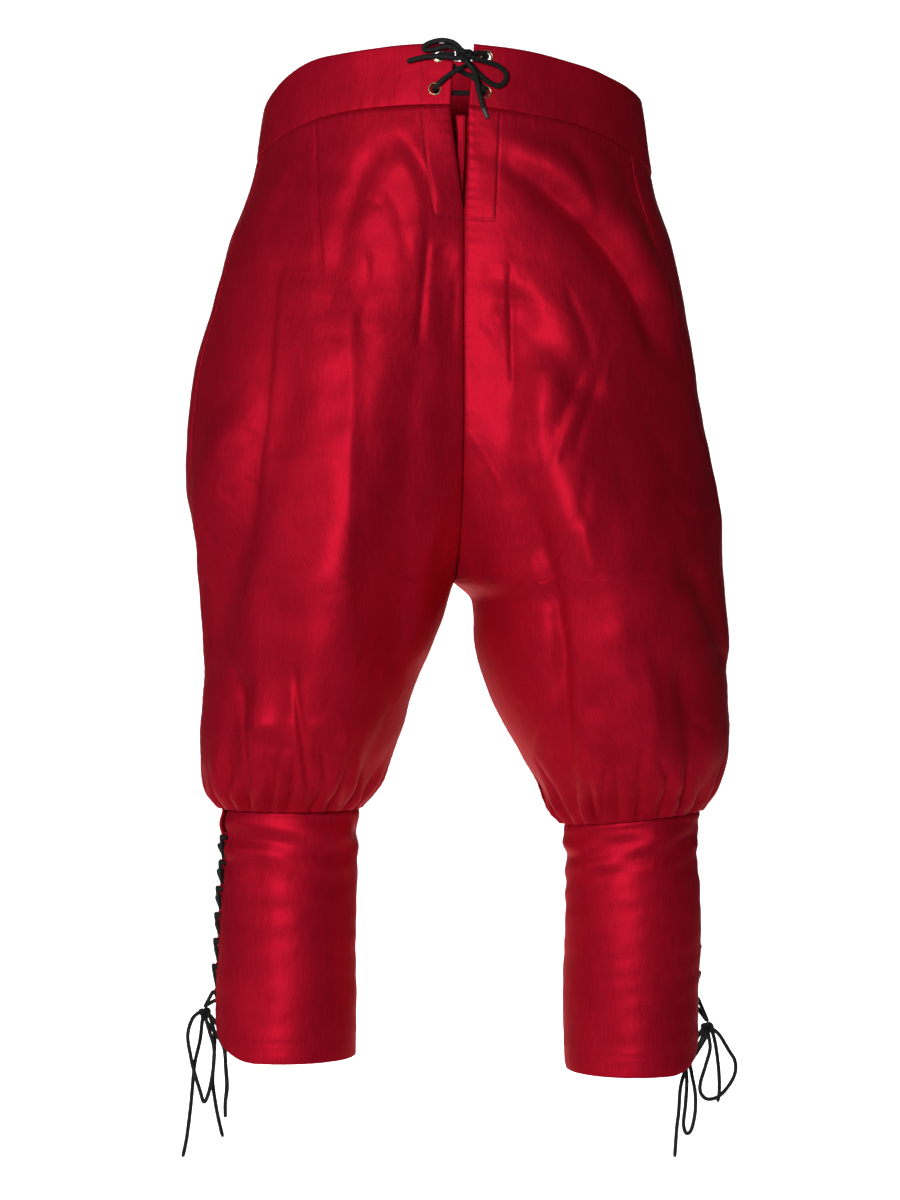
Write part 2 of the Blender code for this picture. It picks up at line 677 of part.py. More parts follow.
def tube(name, path, radius, sides, kind, up):
    """A tube of a few sides along a path of points, with flat ends."""
    rings = []
    for k, point in enumerate(path):
        ahead = path[min(k + 1, len(path) - 1)] - path[max(k - 1, 0)]
        ahead = ahead / np.linalg.norm(ahead)
        side_way = np.cross(ahead, up)
        side_way /= np.linalg.norm(side_way)
        third = np.cross(side_way, ahead)
        turn = np.linspace(0.0, 2 * math.pi, sides, endpoint=False) + math.pi / sides
        rings.append(point + radius * (np.cos(turn)[:, None] * side_way + np.sin(turn)[:, None] * third))
    faces = ring_faces(len(path), sides, False)
    last = (len(path) - 1) * sides
    faces += [tuple(range(sides)), tuple(last + i for i in reversed(range(sides)))]
    return piece(name, np.concatenate(rings), faces, kind)


def lacing_loop(side, edge, k):
    """A rouleau loop: two arms out from the cuff's edge, joined by a half circle at the tip."""
    base, reach, tilted, down, above = loop_axes(side, edge, k)
    bend = LOOP_LONG - LOOP_THICK / 2 - LOOP_HALF
    upper, lower = (
        [base + reach * length + down * arm * LOOP_HALF for length in (LOOP_SEAT, LOOP_ROOT)]
        for arm in (-1, 1)
    )
    half_circle = [
        base + tilted * (bend + LOOP_HALF * math.cos(t)) + down * LOOP_HALF * math.sin(t)
        for t in np.radians((-75, -38, 0, 38, 75))
    ]
    route = upper + half_circle + lower[::-1]
    tube("loop_" + side + "_" + edge + "_" + str(k + 1), route, LOOP_THICK / 2, 5, "sateen", above)


def smooth_route(points, spacing):
    """Points at an even spacing on a smooth curve through the given ones."""
    points = np.array(points, dtype=float)
    ends = np.concatenate([[2 * points[0] - points[1]], points, [2 * points[-1] - points[-2]]])
    fine = []
    for k in range(1, len(ends) - 2):
        p0, p1, p2, p3 = ends[k - 1:k + 3]
        t = np.linspace(0.0, 1.0, 24, endpoint=False)[:, None]
        fine.append(0.5 * (2 * p1 + (p2 - p0) * t + (2 * p0 - 5 * p1 + 4 * p2 - p3) * t ** 2
                           + (3 * p1 - p0 - 3 * p2 + p3) * t ** 3))
    fine = np.concatenate(fine + [points[-1:]])
    length = np.concatenate([[0.0], np.cumsum(np.linalg.norm(np.diff(fine, axis=0), axis=1))])
    even = np.linspace(0.0, length[-1], max(4, int(round(length[-1] / spacing)) + 1))
    return np.stack([np.interp(even, length, fine[:, k]) for k in range(3)], axis=-1)


def cord(name, route, diameter, resolution=2):
    """A cord as a round bevelled curve with closed ends."""
    curve = bpy.data.curves.new(name, "CURVE")
    curve.dimensions = "3D"
    curve.bevel_depth = diameter / 2
    curve.bevel_resolution = resolution
    curve.use_fill_caps = True
    spline = curve.splines.new("POLY")
    spline.points.add(len(route) - 1)
    for point, place in zip(spline.points, route):
        point.co = (*place, 1.0)
    obj = bpy.data.objects.new(name, curve)
    curve.materials.append(own_finish(name, "cord"))
    bpy.context.scene.collection.objects.link(obj)
    return obj


def knot(name, centre, size):
    """A tied knot: an oval lump with a pinched waist."""
    rings = 7
    count = 10
    points = [centre + np.array([0, 0, size[2]])]
    for k in range(1, rings):
        tilt = math.pi * k / rings
        turn = np.linspace(0.0, 2 * math.pi, count, endpoint=False)
        pinch = 1 - 0.10 * math.sin(2 * tilt) ** 2
        ring = np.stack([size[0] * math.sin(tilt) * pinch * np.cos(turn),
                         size[1] * math.sin(tilt) * pinch * np.sin(turn),
                         np.full(count, size[2] * math.cos(tilt))], axis=-1)
        points.extend(centre + ring)
    points.append(centre - np.array([0, 0, size[2]]))
    last = len(points) - 1
    faces = [(0, 1 + (i + 1) % count, 1 + i) for i in range(count)]
    for k in range(rings - 2):
        a = 1 + k * count
        b = a + count
        faces += [(a + i, a + (i + 1) % count, b + (i + 1) % count, b + i) for i in range(count)]
    a = 1 + (rings - 2) * count
    faces += [(a + i, a + (i + 1) % count, last) for i in range(count)]
    piece(name, points, faces, "cord")


def band_place(x, z, out):
    """A point in front of the waistband, at a distance out from its outer face."""
    side = "left" if x > 0 else "right"
    near, right, up, away = facet_frame(side)
    centre = near + right * (x - near[0]) / right[0]
    centre = centre + up * (z - centre[2]) / up[2]
    blend = min(abs(x) / 0.012, 1.0)
    away = away * blend + np.array([0.0, -1.0, 0.0]) * (1 - blend)
    return centre + out * away


# The waist lace, each point as x, z and distance out from the waistband, in millimetres. It runs from
# the knot into the left upper eyelet, crosses inside to the front of the right lower one, runs behind
# to the left lower one, and comes back the same way on the other side.
WAIST_LACE = (
    (7.4, 42.6, 6.4), (11.0, 43.2, 5.4), (15.2, 42.8, 4.3), (17.6, 42.0, 3.4), (18.6, 41.5, 1.0),
    (18.7, 41.4, -3.2), (16.6, 40.6, -6.2), (12.4, 38.8, -7.2), (8.2, 36.8, -6.9), (4.8, 34.8, -5.2),
    (1.4, 33.4, -1.6), (-2.0, 31.4, 2.0), (-6.5, 28.8, 3.3), (-11.6, 25.4, 3.6), (-17.6, 20.6, 4.2),
    (-21.6, 16.8, 4.0), (-23.4, 14.8, 1.4), (-23.6, 14.5, -3.2), (-21.6, 13.8, -6.2), (-17.0, 13.0, -7.2),
    (-8.0, 12.6, -6.8), (2.0, 12.4, -6.8), (10.4, 12.4, -7.2), (15.0, 12.4, -6.3), (17.1, 12.4, -3.2),
    (17.0, 12.7, 1.4), (15.2, 14.8, 4.0), (12.0, 18.2, 4.2), (8.8, 21.6, 3.4), (5.6, 24.6, 2.7),
    (2.8, 26.2, 0.2), (-0.2, 28.6, -4.0), (-3.6, 31.0, -6.3), (-8.0, 34.2, -7.2), (-14.0, 38.4, -7.3),
    (-18.6, 40.9, -6.2), (-20.7, 41.4, -3.2), (-20.6, 41.6, 1.2), (-18.6, 41.9, 3.6), (-14.6, 42.2, 4.4),
    (-11.0, 42.2, 5.2), (-7.6, 41.6, 6.2),
)
WAIST_KNOT = (0.0, 41.0, 7.0)
WAIST_KNOT_SIZE = (0.0066, 0.0042, 0.0056)
WAIST_LOOP_1 = (
    (-4.0, 46.6, 9.0), (-9.0, 50.6, 9.6), (-17.0, 52.4, 9.2), (-25.0, 51.4, 8.0), (-31.0, 48.8, 6.6),
    (-31.6, 45.6, 6.2), (-26.0, 45.0, 7.4), (-19.0, 46.4, 8.6), (-13.0, 47.4, 10.4), (-7.0, 45.2, 10.8),
)
WAIST_LOOP_2 = (
    (6.6, 38.4, 8.4), (12.0, 36.8, 8.4), (20.0, 35.0, 7.6), (28.0, 32.2, 6.2), (33.2, 27.6, 5.2),
    (33.2, 21.6, 4.6), (28.0, 17.0, 4.8), (21.0, 18.6, 6.0), (14.4, 22.6, 7.4), (8.6, 28.2, 8.2),
    (3.8, 34.4, 7.8),
)
WAIST_TAIL_1 = (
    (-6.0, 37.8, 8.6), (-12.0, 38.8, 8.8), (-20.0, 39.6, 7.8), (-30.0, 39.8, 5.6), (-38.0, 38.6, 3.8),
    (-46.0, 36.6, 2.8),
)
WAIST_TAIL_2 = (
    (0.6, 35.6, 11.4), (3.6, 31.0, 13.2), (6.8, 26.4, 12.8), (9.2, 19.6, 9.6), (11.4, 11.0, 6.4),
    (14.2, 1.4, 4.4), (18.6, -9.8, 3.6),
)

# The cuff laces' bows, each point as x (outward), y (back) and z from the knot, in millimetres.
CUFF_KNOT_SIZE = (0.0050, 0.0048, 0.0054)
LACE_AT_KNOT = (0.0030, 0.0058)   # how far the lace's ends lie apart (half) and above the knot
LACE_CLEAR = 0.0003               # between the lace and the loops that it runs through
TOP_BAR_RISE = 0.004              # how far the lace's top bar stands above the top loops
CUFF_KNOT_PLACE = {"right": (0.0040, 0.0100), "left": (0.0017, 0.0120)}   # above the corners, out
BOWS = {
    "right": {
        "bow_right_1": (
            (5.4, -2.4, 0.8), (10.9, -3.8, -4.9), (14.3, -4.8, -18.3), (11.7, -5.2, -36.2),
            (9.2, -5.4, -47.2), (4.1, -5.4, -64.2), (0.3, -5.6, -74.4), (-4.4, -5.8, -62.6),
            (-7.8, -5.8, -41.4), (-7.8, -5.6, -27.8), (-5.2, -4.8, -18.4), (-1.8, -4.0, -6.6),
        ),
        "bow_right_2": (
            (-1.6, 5.8, -0.2), (-6.8, 12.6, -6.0), (-12.7, 18.8, -16.0), (-16.6, 21.6, -27.6),
            (-17.8, 22.0, -51.0), (-18.6, 22.0, -65.4), (-17.4, 23.6, -80.0), (-17.4, 29.0, -92.0),
            (-17.4, 34.2, -82.0), (-19.0, 34.4, -67.4), (-17.8, 32.6, -49.8), (-16.1, 27.8, -33.6),
            (-10.1, 18.6, -20.8), (-4.2, 10.0, -12.2), (-1.4, 4.8, -6.6),
        ),
        "tail_right_1": (
            (2.0, 1.0, -5.6), (4.0, 1.7, -22.8), (8.4, 1.8, -42.3), (10.1, 1.6, -58.5),
            (11.8, 1.4, -78.0), (15.2, 1.2, -105.2), (18.6, 1.0, -122.0),
        ),
        "tail_right_2": (
            (-4.8, 0.8, -3.6), (-8.5, 1.8, -19.5), (-7.7, 2.0, -39.1), (-6.8, 2.0, -58.7),
            (-9.4, 2.0, -78.4), (-11.9, 2.0, -91.2), (-15.3, 2.0, -105.7),
        ),
    },
    "left": {
        "bow_left_1": (
            (5.2, -2.8, -1.2), (10.6, -4.6, -6.5), (17.2, -5.4, -17.6), (23.2, -5.8, -28.0),
            (23.0, -6.0, -39.1), (16.9, -6.0, -50.2), (8.6, -5.8, -58.4), (-0.8, -5.8, -60.4),
            (-6.4, -6.0, -55.1), (-6.8, -6.0, -46.4), (-2.2, -6.0, -31.1), (1.6, -5.4, -17.6),
            (0.6, -4.6, -6.8),
        ),
        "bow_left_2": (
            (-1.6, 5.9, -0.1), (-3.6, 13.0, -5.0), (-7.4, 20.6, -15.0), (-11.4, 25.0, -29.6),
            (-9.6, 25.6, -43.8), (-6.6, 25.8, -59.6), (-6.4, 26.8, -76.9), (-9.4, 29.0, -92.4),
            (-13.2, 33.2, -96.4), (-15.2, 36.2, -88.7), (-13.4, 36.6, -71.5), (-12.4, 35.6, -52.2),
            (-13.4, 31.6, -36.4), (-8.6, 22.6, -24.2), (-4.6, 13.0, -15.0), (-2.6, 5.0, -6.6),
        ),
        "tail_left_1": (
            (4.6, 0.6, -4.0), (7.6, 1.0, -15.9), (10.2, 1.2, -36.6), (10.7, 1.2, -53.9),
            (9.4, 1.2, -64.2),
        ),
        "tail_left_2": (
            (1.6, 6.2, -2.0), (3.2, 15.6, -6.4), (0.6, 26.6, -16.0), (-4.6, 36.0, -28.0),
            (-12.0, 41.4, -41.0), (-16.9, 42.4, -57.5), (-18.6, 42.4, -79.4), (-20.4, 41.8, -93.3),
            (-22.3, 41.0, -118.5),
        ),
    },
}


def lace_route(side):
    """The run of a cuff's lace: up one way and down the other, crossing in the opening between each
    pair of loops. At a loop it comes over the tip, down through the hole and back under."""
    wrap = LOOP_HALF + LACE_CLEAR
    bend = LOOP_LONG - LOOP_THICK / 2 - LOOP_HALF
    climb = [("front" if k % 2 == 0 else "back", k) for k in reversed(range(LOOPS))]
    fall = [("back" if k % 2 == 0 else "front", k) for k in range(LOOPS)]
    turn = np.radians((98, 150, 210, 262))
    slope = np.array((0.0012, 0.0003, -0.0003, -0.0012))
    strands = []
    for order, angles in ((climb, turn), (fall, turn[::-1])):
        strand = []
        for edge, k in order:
            base, _, tilted, down, above = loop_axes(side, edge, k)
            tip = base + tilted * (bend + LOOP_HALF)
            for angle, shift in zip(angles, slope if order is climb else -slope):
                place = tip + tilted * wrap * math.cos(angle) + above * wrap * math.sin(angle)
                strand.append(place + down * shift)
        strands.append(strand)
    return strands


def cuff_knot_place(side):
    """Where a cuff's knot hangs, outside the foot of the opening."""
    drop, out = CUFF_KNOT_PLACE[side]
    z = np.array(CUFF_HEM[side] + HEM_CORNER_RISE + drop)
    angle = (opening_angle(side, "front", 1.0) + opening_angle(side, "back", 1.0)) / 2
    return cuff_point(side, np.array(angle), z, out)


def waist_cords():
    """The waist lace, its knot, its two bow loops and its two free ends."""
    def route(points):
        return [band_place(x / 1000, z / 1000, out / 1000) for x, z, out in points]

    knot("waist_knot", route([WAIST_KNOT])[0], WAIST_KNOT_SIZE)
    for name, points, spacing in (
        ("waist_lace", WAIST_LACE, 1.6),
        ("bow_waist_1", WAIST_LOOP_1, 2.0),
        ("bow_waist_2", WAIST_LOOP_2, 2.0),
        ("tail_waist_1", WAIST_TAIL_1, 2.4),
        ("tail_waist_2", WAIST_TAIL_2, 2.4),
    ):
        cord(name, smooth_route(route(points), spacing * WAIST_CORD), WAIST_CORD)


def cuff_cords(side):
    """A cuff's lace, its knot, its two bow loops and its two free ends."""
    climb, fall = lace_route(side)
    centre = cuff_knot_place(side)
    apart, above = LACE_AT_KNOT
    start = centre + np.array([0.0, -apart, above])
    end = centre + np.array([0.0, apart, above])
    top_bar = (climb[-1] + fall[0]) / 2 + np.array([0.0, 0.0, TOP_BAR_RISE])
    route = [start] + climb + [top_bar] + fall + [end]
    cord("lace_" + side, np.array(route), CUFF_CORD, 1)
    knot("knot_" + side, centre, CUFF_KNOT_SIZE)
    for name, points in BOWS[side].items():
        places = [centre + np.array([SIGN[side] * x, y, z]) / 1000 for x, y, z in points]
        cord(name, smooth_route(places, 2.8 * CUFF_CORD), CUFF_CORD)


for old in list(bpy.data.objects):
    bpy.data.objects.remove(old)
leg_panels()
for side in SIGN:
    waistband(side)
    cuff(side)
    for edge in ("front", "back"):
        for k in range(LOOPS):
            lacing_loop(side, edge, k)
underlap()
eyelets()
waist_cords()
for side in SIGN:
    cuff_cords(side)
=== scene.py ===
import math

import bmesh
import bpy
import numpy as np
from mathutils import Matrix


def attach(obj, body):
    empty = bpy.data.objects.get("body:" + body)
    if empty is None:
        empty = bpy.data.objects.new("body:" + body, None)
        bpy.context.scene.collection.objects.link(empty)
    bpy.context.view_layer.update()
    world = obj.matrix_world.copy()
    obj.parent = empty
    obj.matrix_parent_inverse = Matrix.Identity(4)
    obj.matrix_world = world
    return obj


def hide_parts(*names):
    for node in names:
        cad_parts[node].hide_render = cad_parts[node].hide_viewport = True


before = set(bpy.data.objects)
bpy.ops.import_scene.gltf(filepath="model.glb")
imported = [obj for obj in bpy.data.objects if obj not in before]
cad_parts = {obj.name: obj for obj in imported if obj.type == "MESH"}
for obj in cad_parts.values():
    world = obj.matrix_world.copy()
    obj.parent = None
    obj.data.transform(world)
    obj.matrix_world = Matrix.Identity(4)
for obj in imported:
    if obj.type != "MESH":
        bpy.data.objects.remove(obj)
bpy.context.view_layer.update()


def table(names, *rows):
    """A table's columns by name, from its rows."""
    return dict(zip(names.split(), np.array(rows, dtype=float).T))


# The camera: how far it stands from the waist's middle, half the height that it takes in there, and
# how far the breeches are turned from it.
DISTANCE = 2.6
HALF_HEIGHT = 0.51
TURN = math.radians(4.0)
AIM_X = -0.003
AIM_Z = -0.400

# The front view is laid out on squared paper: squares from the left and from the top.
SQUARE = 0.00085
PAPER_WIDE = 450
PAPER_HIGH = 600

# Cloth
SINGLE = 0.0016              # wall of a leg panel
DOUBLE = 0.0024              # wall of the waistband and of a cuff
UNDERLAP = 0.0012            # wall of the underlap
UNDERLAP_BEHIND = 0.0014     # how far it lies behind the fronts
UNDERLAP_BACK = 0.011        # how far it bends back behind the slit's edges
UNDERLAP_BEND = 0.0022       # over this width
SEAM = 0.0003                # gap between two pieces sewn together
BAND_TUCK = 0.0010           # how far a panel's top runs up behind the waistband
CROTCH_Z = -0.385            # height of the crotch point
WAIST_HALF = 0.160           # about half the waist's width
FACET = 0.034                # half the width of the band's flat front, which holds the eyelets
LEG_RADIUS = 0.130           # about how far a side seam lies from its leg's middle
CALF_RADIUS = 0.060          # the same for a cuff
SEAM_SINK = 0.0006           # how far the cloth is drawn in at a seam
SEAM_SINK_WIDE = 0.0018
SEWN_WITHIN = 0.00024        # an edge this near to the centre plane is sewn to its neighbour
SEAM_CLOSED = 0.000004       # how near it then comes to that plane
CUFF_TUCK = 0.0016           # how far a cuff's top runs up behind the gathers
CUFF_SINK = 0.0018           # and how far it sinks in there
HEM_STITCH = 0.018           # from a cuff's hem to the line of stitching above it
SIDE_STITCH = 0.0055         # from its opening's edge to the line beside it
STITCH_LINE_WIDE = 0.0012    # width of the hollow along such a line
BAND_SINK = 0.0009           # how far the panels sink in under the waistband
CREASE_DEPTH = 0.55          # share of the drawn creases' heights that the cloth takes
FACING_RISE = 0.00035        # how far the facing round the slit thickens the front
FACING_BEVEL = 0.0012        # over this distance
FACING_MARGIN = 16           # squares round the facing's stitching that are looked at
STITCH_SINK = 0.00045        # depth and width of the groove along its stitches
STITCH_SINK_WIDE = 0.0010
PUCKER = 0.00022             # height of the small ripples beside a seam
TUCK_WIDE = 0.0026           # over this width a piece sinks towards the edge that is tucked in
INSIDE_STEP = 4              # the wall's inner face is this much coarser than its outer one

# Cords
WAIST_CORD = 0.0042
CUFF_CORD = 0.0034
CORD_SIDES = 16
CORD_RING = 0.00066          # distance between the rings of a cord's surface
BRAID = 0.045                # depth of the braid, as a share of the cord's radius
KNOT_SPREAD = (1.25, 1.0, 1.3)   # how far a tied knot's turns spread past its size, along x, y and z

# Machine stitches
STITCH = 0.0027              # length of one
THREAD = 0.00045
THREAD_SIDES = 6
STITCH_SECTIONS = ((-0.42, 0.3), (-0.34, 0.8), (0.0, 1.0), (0.34, 0.8), (0.42, 0.3))   # place, size

# The sateen's two tones
SATEEN_DARK = (0.50, 0.0060, 0.0260)
SATEEN_LIGHT = (0.80, 0.0110, 0.0400)

SIGN = {"right": -1.0, "left": 1.0}

# The section of each leg, row by row down the breeches. past is how far the section would reach over
# the centre plane, as a share of outer: the same on both sides down to the crotch, negative below it.
FORM = table(
    "z      outer_right outer_left past_right past_left front  back   middle",
    (0.060, 0.1585, 0.1585, 1.000, 1.000, 0.1165, 0.1165, 0.000),
    (0.020, 0.1600, 0.1598, 0.930, 0.930, 0.1172, 0.1175, 0.000),
    (-0.010, 0.1635, 0.1635, 0.800, 0.800, 0.1192, 0.1210, 0.000),
    (-0.050, 0.1718, 0.1702, 0.640, 0.640, 0.1235, 0.1300, 0.001),
    (-0.100, 0.1912, 0.1862, 0.540, 0.540, 0.1285, 0.1420, 0.002),
    (-0.150, 0.2045, 0.1970, 0.520, 0.520, 0.1330, 0.1500, 0.002),
    (-0.200, 0.2185, 0.2050, 0.500, 0.500, 0.1360, 0.1530, 0.001),
    (-0.250, 0.2252, 0.2125, 0.430, 0.430, 0.1375, 0.1520, 0.000),
    (-0.290, 0.2268, 0.2212, 0.320, 0.320, 0.1375, 0.1500, -0.001),
    (-0.330, 0.2222, 0.2275, 0.185, 0.185, 0.1365, 0.1470, -0.002),
    (-0.360, 0.2162, 0.2282, 0.075, 0.075, 0.1350, 0.1430, -0.003),
    (-0.385, 0.2153, 0.2296, 0.000, 0.000, 0.1335, 0.1400, -0.003),
    (-0.397, 0.2153, 0.2306, -0.018, -0.058, 0.1318, 0.1380, -0.003),
    (-0.410, 0.2150, 0.2320, -0.035, -0.070, 0.1300, 0.1360, -0.003),
    (-0.435, 0.2138, 0.2345, -0.078, -0.075, 0.1265, 0.1310, -0.003),
    (-0.460, 0.2118, 0.2328, -0.130, -0.100, 0.1225, 0.1255, -0.002),
    (-0.485, 0.2135, 0.2335, -0.173, -0.140, 0.1190, 0.1200, -0.001),
    (-0.510, 0.2155, 0.2348, -0.203, -0.193, 0.1150, 0.1140, 0.000),
    (-0.535, 0.2148, 0.2318, -0.251, -0.258, 0.1070, 0.1060, 0.002),
    (-0.555, 0.2098, 0.2238, -0.301, -0.322, 0.0940, 0.0950, 0.004),
    (-0.575, 0.2000, 0.2150, -0.388, -0.385, 0.0690, 0.0750, 0.007),
    (-0.592, 0.1985, 0.2085, -0.415, -0.447, 0.0580, 0.0600, 0.008),
)

# The calf cuffs' outer face.
CUFF_FORM = table(
    "z      outer_right outer_left inner_right inner_left front  back   middle",
    (-0.575, 0.1990, 0.2125, 0.0795, 0.0940, 0.0590, 0.0605, 0.008),
    (-0.610, 0.1965, 0.2095, 0.0802, 0.0958, 0.0580, 0.0620, 0.008),
    (-0.650, 0.1985, 0.2118, 0.0820, 0.0963, 0.0585, 0.0650, 0.009),
    (-0.690, 0.1993, 0.2128, 0.0825, 0.0960, 0.0590, 0.0640, 0.009),
    (-0.740, 0.2015, 0.2106, 0.0820, 0.0948, 0.0595, 0.0605, 0.008),
    (-0.800, 0.2030, 0.2096, 0.0828, 0.0970, 0.0600, 0.0590, 0.008),
)

# Where the side seam runs, in degrees forward of the outer side.
SIDE_SEAM = table(
    "z      right left",
    (0.020, 12.0, 30.0),
    (-0.120, 14.0, 34.0),
    (-0.200, 14.0, 26.0),
    (-0.310, 12.0, 17.0),
    (-0.450, 8.0, 9.0),
    (-0.600, 6.0, 6.0),
)

# The waistband's edges, by the angle round the waist: 0 at the centre front, 90 at the wearer's left,
# 270 at the wearer's right.
BAND = table(
    "angle top    bottom",
    (0.0, 0.0528, 0.0018),
    (19.0, 0.0482, -0.0045),
    (40.0, 0.0392, -0.0140),
    (60.0, 0.0300, -0.0285),
    (81.0, 0.0236, -0.0390),
    (105.0, 0.0270, -0.0355),
    (140.0, 0.0580, 0.0060),
    (180.0, 0.0790, 0.0290),
    (225.0, 0.0560, 0.0050),
    (255.0, 0.0220, -0.0260),
    (273.0, 0.0170, -0.0278),
    (287.0, 0.0258, -0.0225),
    (298.0, 0.0358, -0.0155),
    (310.0, 0.0442, -0.0078),
    (325.0, 0.0478, -0.0018),
    (342.0, 0.0515, 0.0010),
    (360.0, 0.0528, 0.0018),
)
BAND_PROUD = 0.0008          # how far the band's outer face stands out from the panels'

# The open slit at the centre front: how far each edge lies from the centre plane.
SLIT = table(
    "z      right  left",
    (0.0550, 0.0070, 0.0086),
    (0.0270, 0.0090, 0.0062),
    (0.0010, 0.0105, 0.0038),
    (-0.0300, 0.0073, 0.0032),
    (-0.0585, 0.0033, 0.0018),
    (-0.0820, SEAM / 2, SEAM / 2),
)

# The cloth's largest folds. Angles are degrees from the outer side, negative to the front. A fold runs
# from its high end to its low end, bows sideways by some degrees in the middle, and is a ridge where
# its height is positive.
FOLDS = {
    "right": table(
        "high_angle high_z low_angle low_z bow width height",
        (-88, -0.130, -92, -0.520, 0, 0.034, 0.0075),
        (-103, -0.090, -118, -0.300, -3, 0.020, -0.0050),
        (-122, -0.120, -132, -0.330, 2, 0.018, -0.0045),
        (-62, -0.190, -22, -0.470, -6, 0.024, -0.0060),
        (-42, -0.230, -8, -0.400, 0, 0.026, 0.0045),
        (-72, -0.020, -70, -0.160, 2, 0.010, -0.0025),
        (-48, -0.450, -44, -0.568, 0, 0.016, -0.0070),
        (-75, -0.430, -70, -0.568, 0, 0.016, -0.0060),
        (28, -0.060, 62, -0.330, 5, 0.030, -0.0065),
        (70, -0.090, 100, -0.360, 0, 0.032, 0.0060),
        (112, -0.120, 128, -0.340, 0, 0.022, -0.0055),
        (40, -0.330, 70, -0.550, 4, 0.026, -0.0065),
        (104, -0.400, 96, -0.560, 0, 0.020, -0.0055),
    ),
    "left": table(
        "high_angle high_z low_angle low_z bow width height",
        (-84, -0.010, -30, -0.180, 6, 0.024, 0.0070),
        (-92, -0.030, -38, -0.220, 8, 0.016, -0.0080),
        (-96, -0.140, -72, -0.250, 0, 0.018, -0.0055),
        (-78, -0.190, -108, -0.320, 0, 0.018, 0.0045),
        (-118, -0.080, -122, -0.200, 0, 0.018, -0.0045),
        (-90, -0.260, -84, -0.540, 0, 0.036, 0.0065),
        (-50, -0.360, -14, -0.470, -4, 0.022, -0.0065),
        (-60, -0.440, -56, -0.578, 0, 0.016, -0.0060),
        (-102, -0.460, -98, -0.578, 0, 0.016, -0.0055),
        (24, -0.070, 60, -0.320, 4, 0.030, -0.0065),
        (68, -0.080, 96, -0.370, 0, 0.032, 0.0060),
        (110, -0.110, 130, -0.330, 0, 0.022, -0.0055),
        (36, -0.320, 74, -0.540, -4, 0.026, -0.0065),
        (106, -0.410, 100, -0.565, 0, 0.020, -0.0055),
    ),
}
FOLD_RUN = 0.25              # share of a large fold's length over which it rises at each end
SIDE_FOLD_RUN = 0.30         # the same for a smaller one
QUIET_CENTRE = 0.022         # folds fade out this near to the centre plane
QUIET_TOP = 0.030            # and this near to the waistband
QUIET_CUFF = 0.020           # and this near to a cuff

# The gathers sewn into each cuff: ridges and hollows counted across one panel.
GATHERS = 10.5
GATHER_HEIGHT = 0.00612
GATHER_ROUND = 0.7           # power of |cos| across a gather: lower is rounder on top
GATHER_REACH = 0.052         # how far up a gather runs, on the average
GATHER_SEWN = 0.35           # share of its height left where it is sewn in

# The top edge of each cuff, and its hem.
CUFF_TOP = {"right": -0.5765, "left": -0.5855}
CUFF_TOP_TILT = {"right": 0.0005, "left": 0.0060}
CUFF_HEM = {"right": -0.7860, "left": -0.8005}
HEM_CORNER_RISE = 0.030      # the rounded corners beside the opening
HEM_CORNER_RUN = 0.065

# The cuffs' side opening: its edges in degrees from the outer side, at the cuff's top and hem.
OPENING = {
    "right": {"front": (-28.0, -1.0), "back": (12.0, 19.0)},
    "left": {"front": (12.0, 1.0), "back": (52.0, 21.0)},
}

# The lacing loops on the cuffs' edges, each a thin fabric tube.
LOOPS = 7
LOOP_FIRST = 0.0240          # from the cuff's top down to the first loop
LOOP_PITCH = 0.0222
LOOP_STAGGER = 0.0070        # how much lower the loops of the back edge sit
LOOP_THICK = 0.0024
LOOP_SEAT = 0.0005           # gap between an arm's end and the cuff's edge
LOOP_HALF = 0.0033           # half the distance between a loop's two arms
LOOP_LONG = 0.0100           # from the cuff's edge to the loop's tip
LOOP_ROOT = 0.0013           # straight part of an arm before the loop lifts
LOOP_LIFT = (1.0, 9.0)       # degrees that the top and the bottom loops stand out from the cuff
LOOP_SIDES = 14
LOOP_RING = 0.0007           # distance between the rings of a loop's surface

# The eyelets of the waistband.
EYELETS = table(
    "sign x      z",
    (-1, 0.0207, 0.0415),
    (-1, 0.0236, 0.0146),
    (1, 0.0187, 0.0415),
    (1, 0.0172, 0.0124),
)
EYELET_HOLE = 0.0047
EYELET_LIFT = 0.0004
EYELET_BARREL = 0.0043       # its barrel's inner radius
EYELET_RIM = 0.00465         # radius of its rolled rims' middle
EYELET_ROLL = 0.00075        # half a rim's width
EYELET_FRONT = 0.0009        # how high the front rim stands
EYELET_BACK = 0.0007         # and the back one
EYELET_SIDES = 48

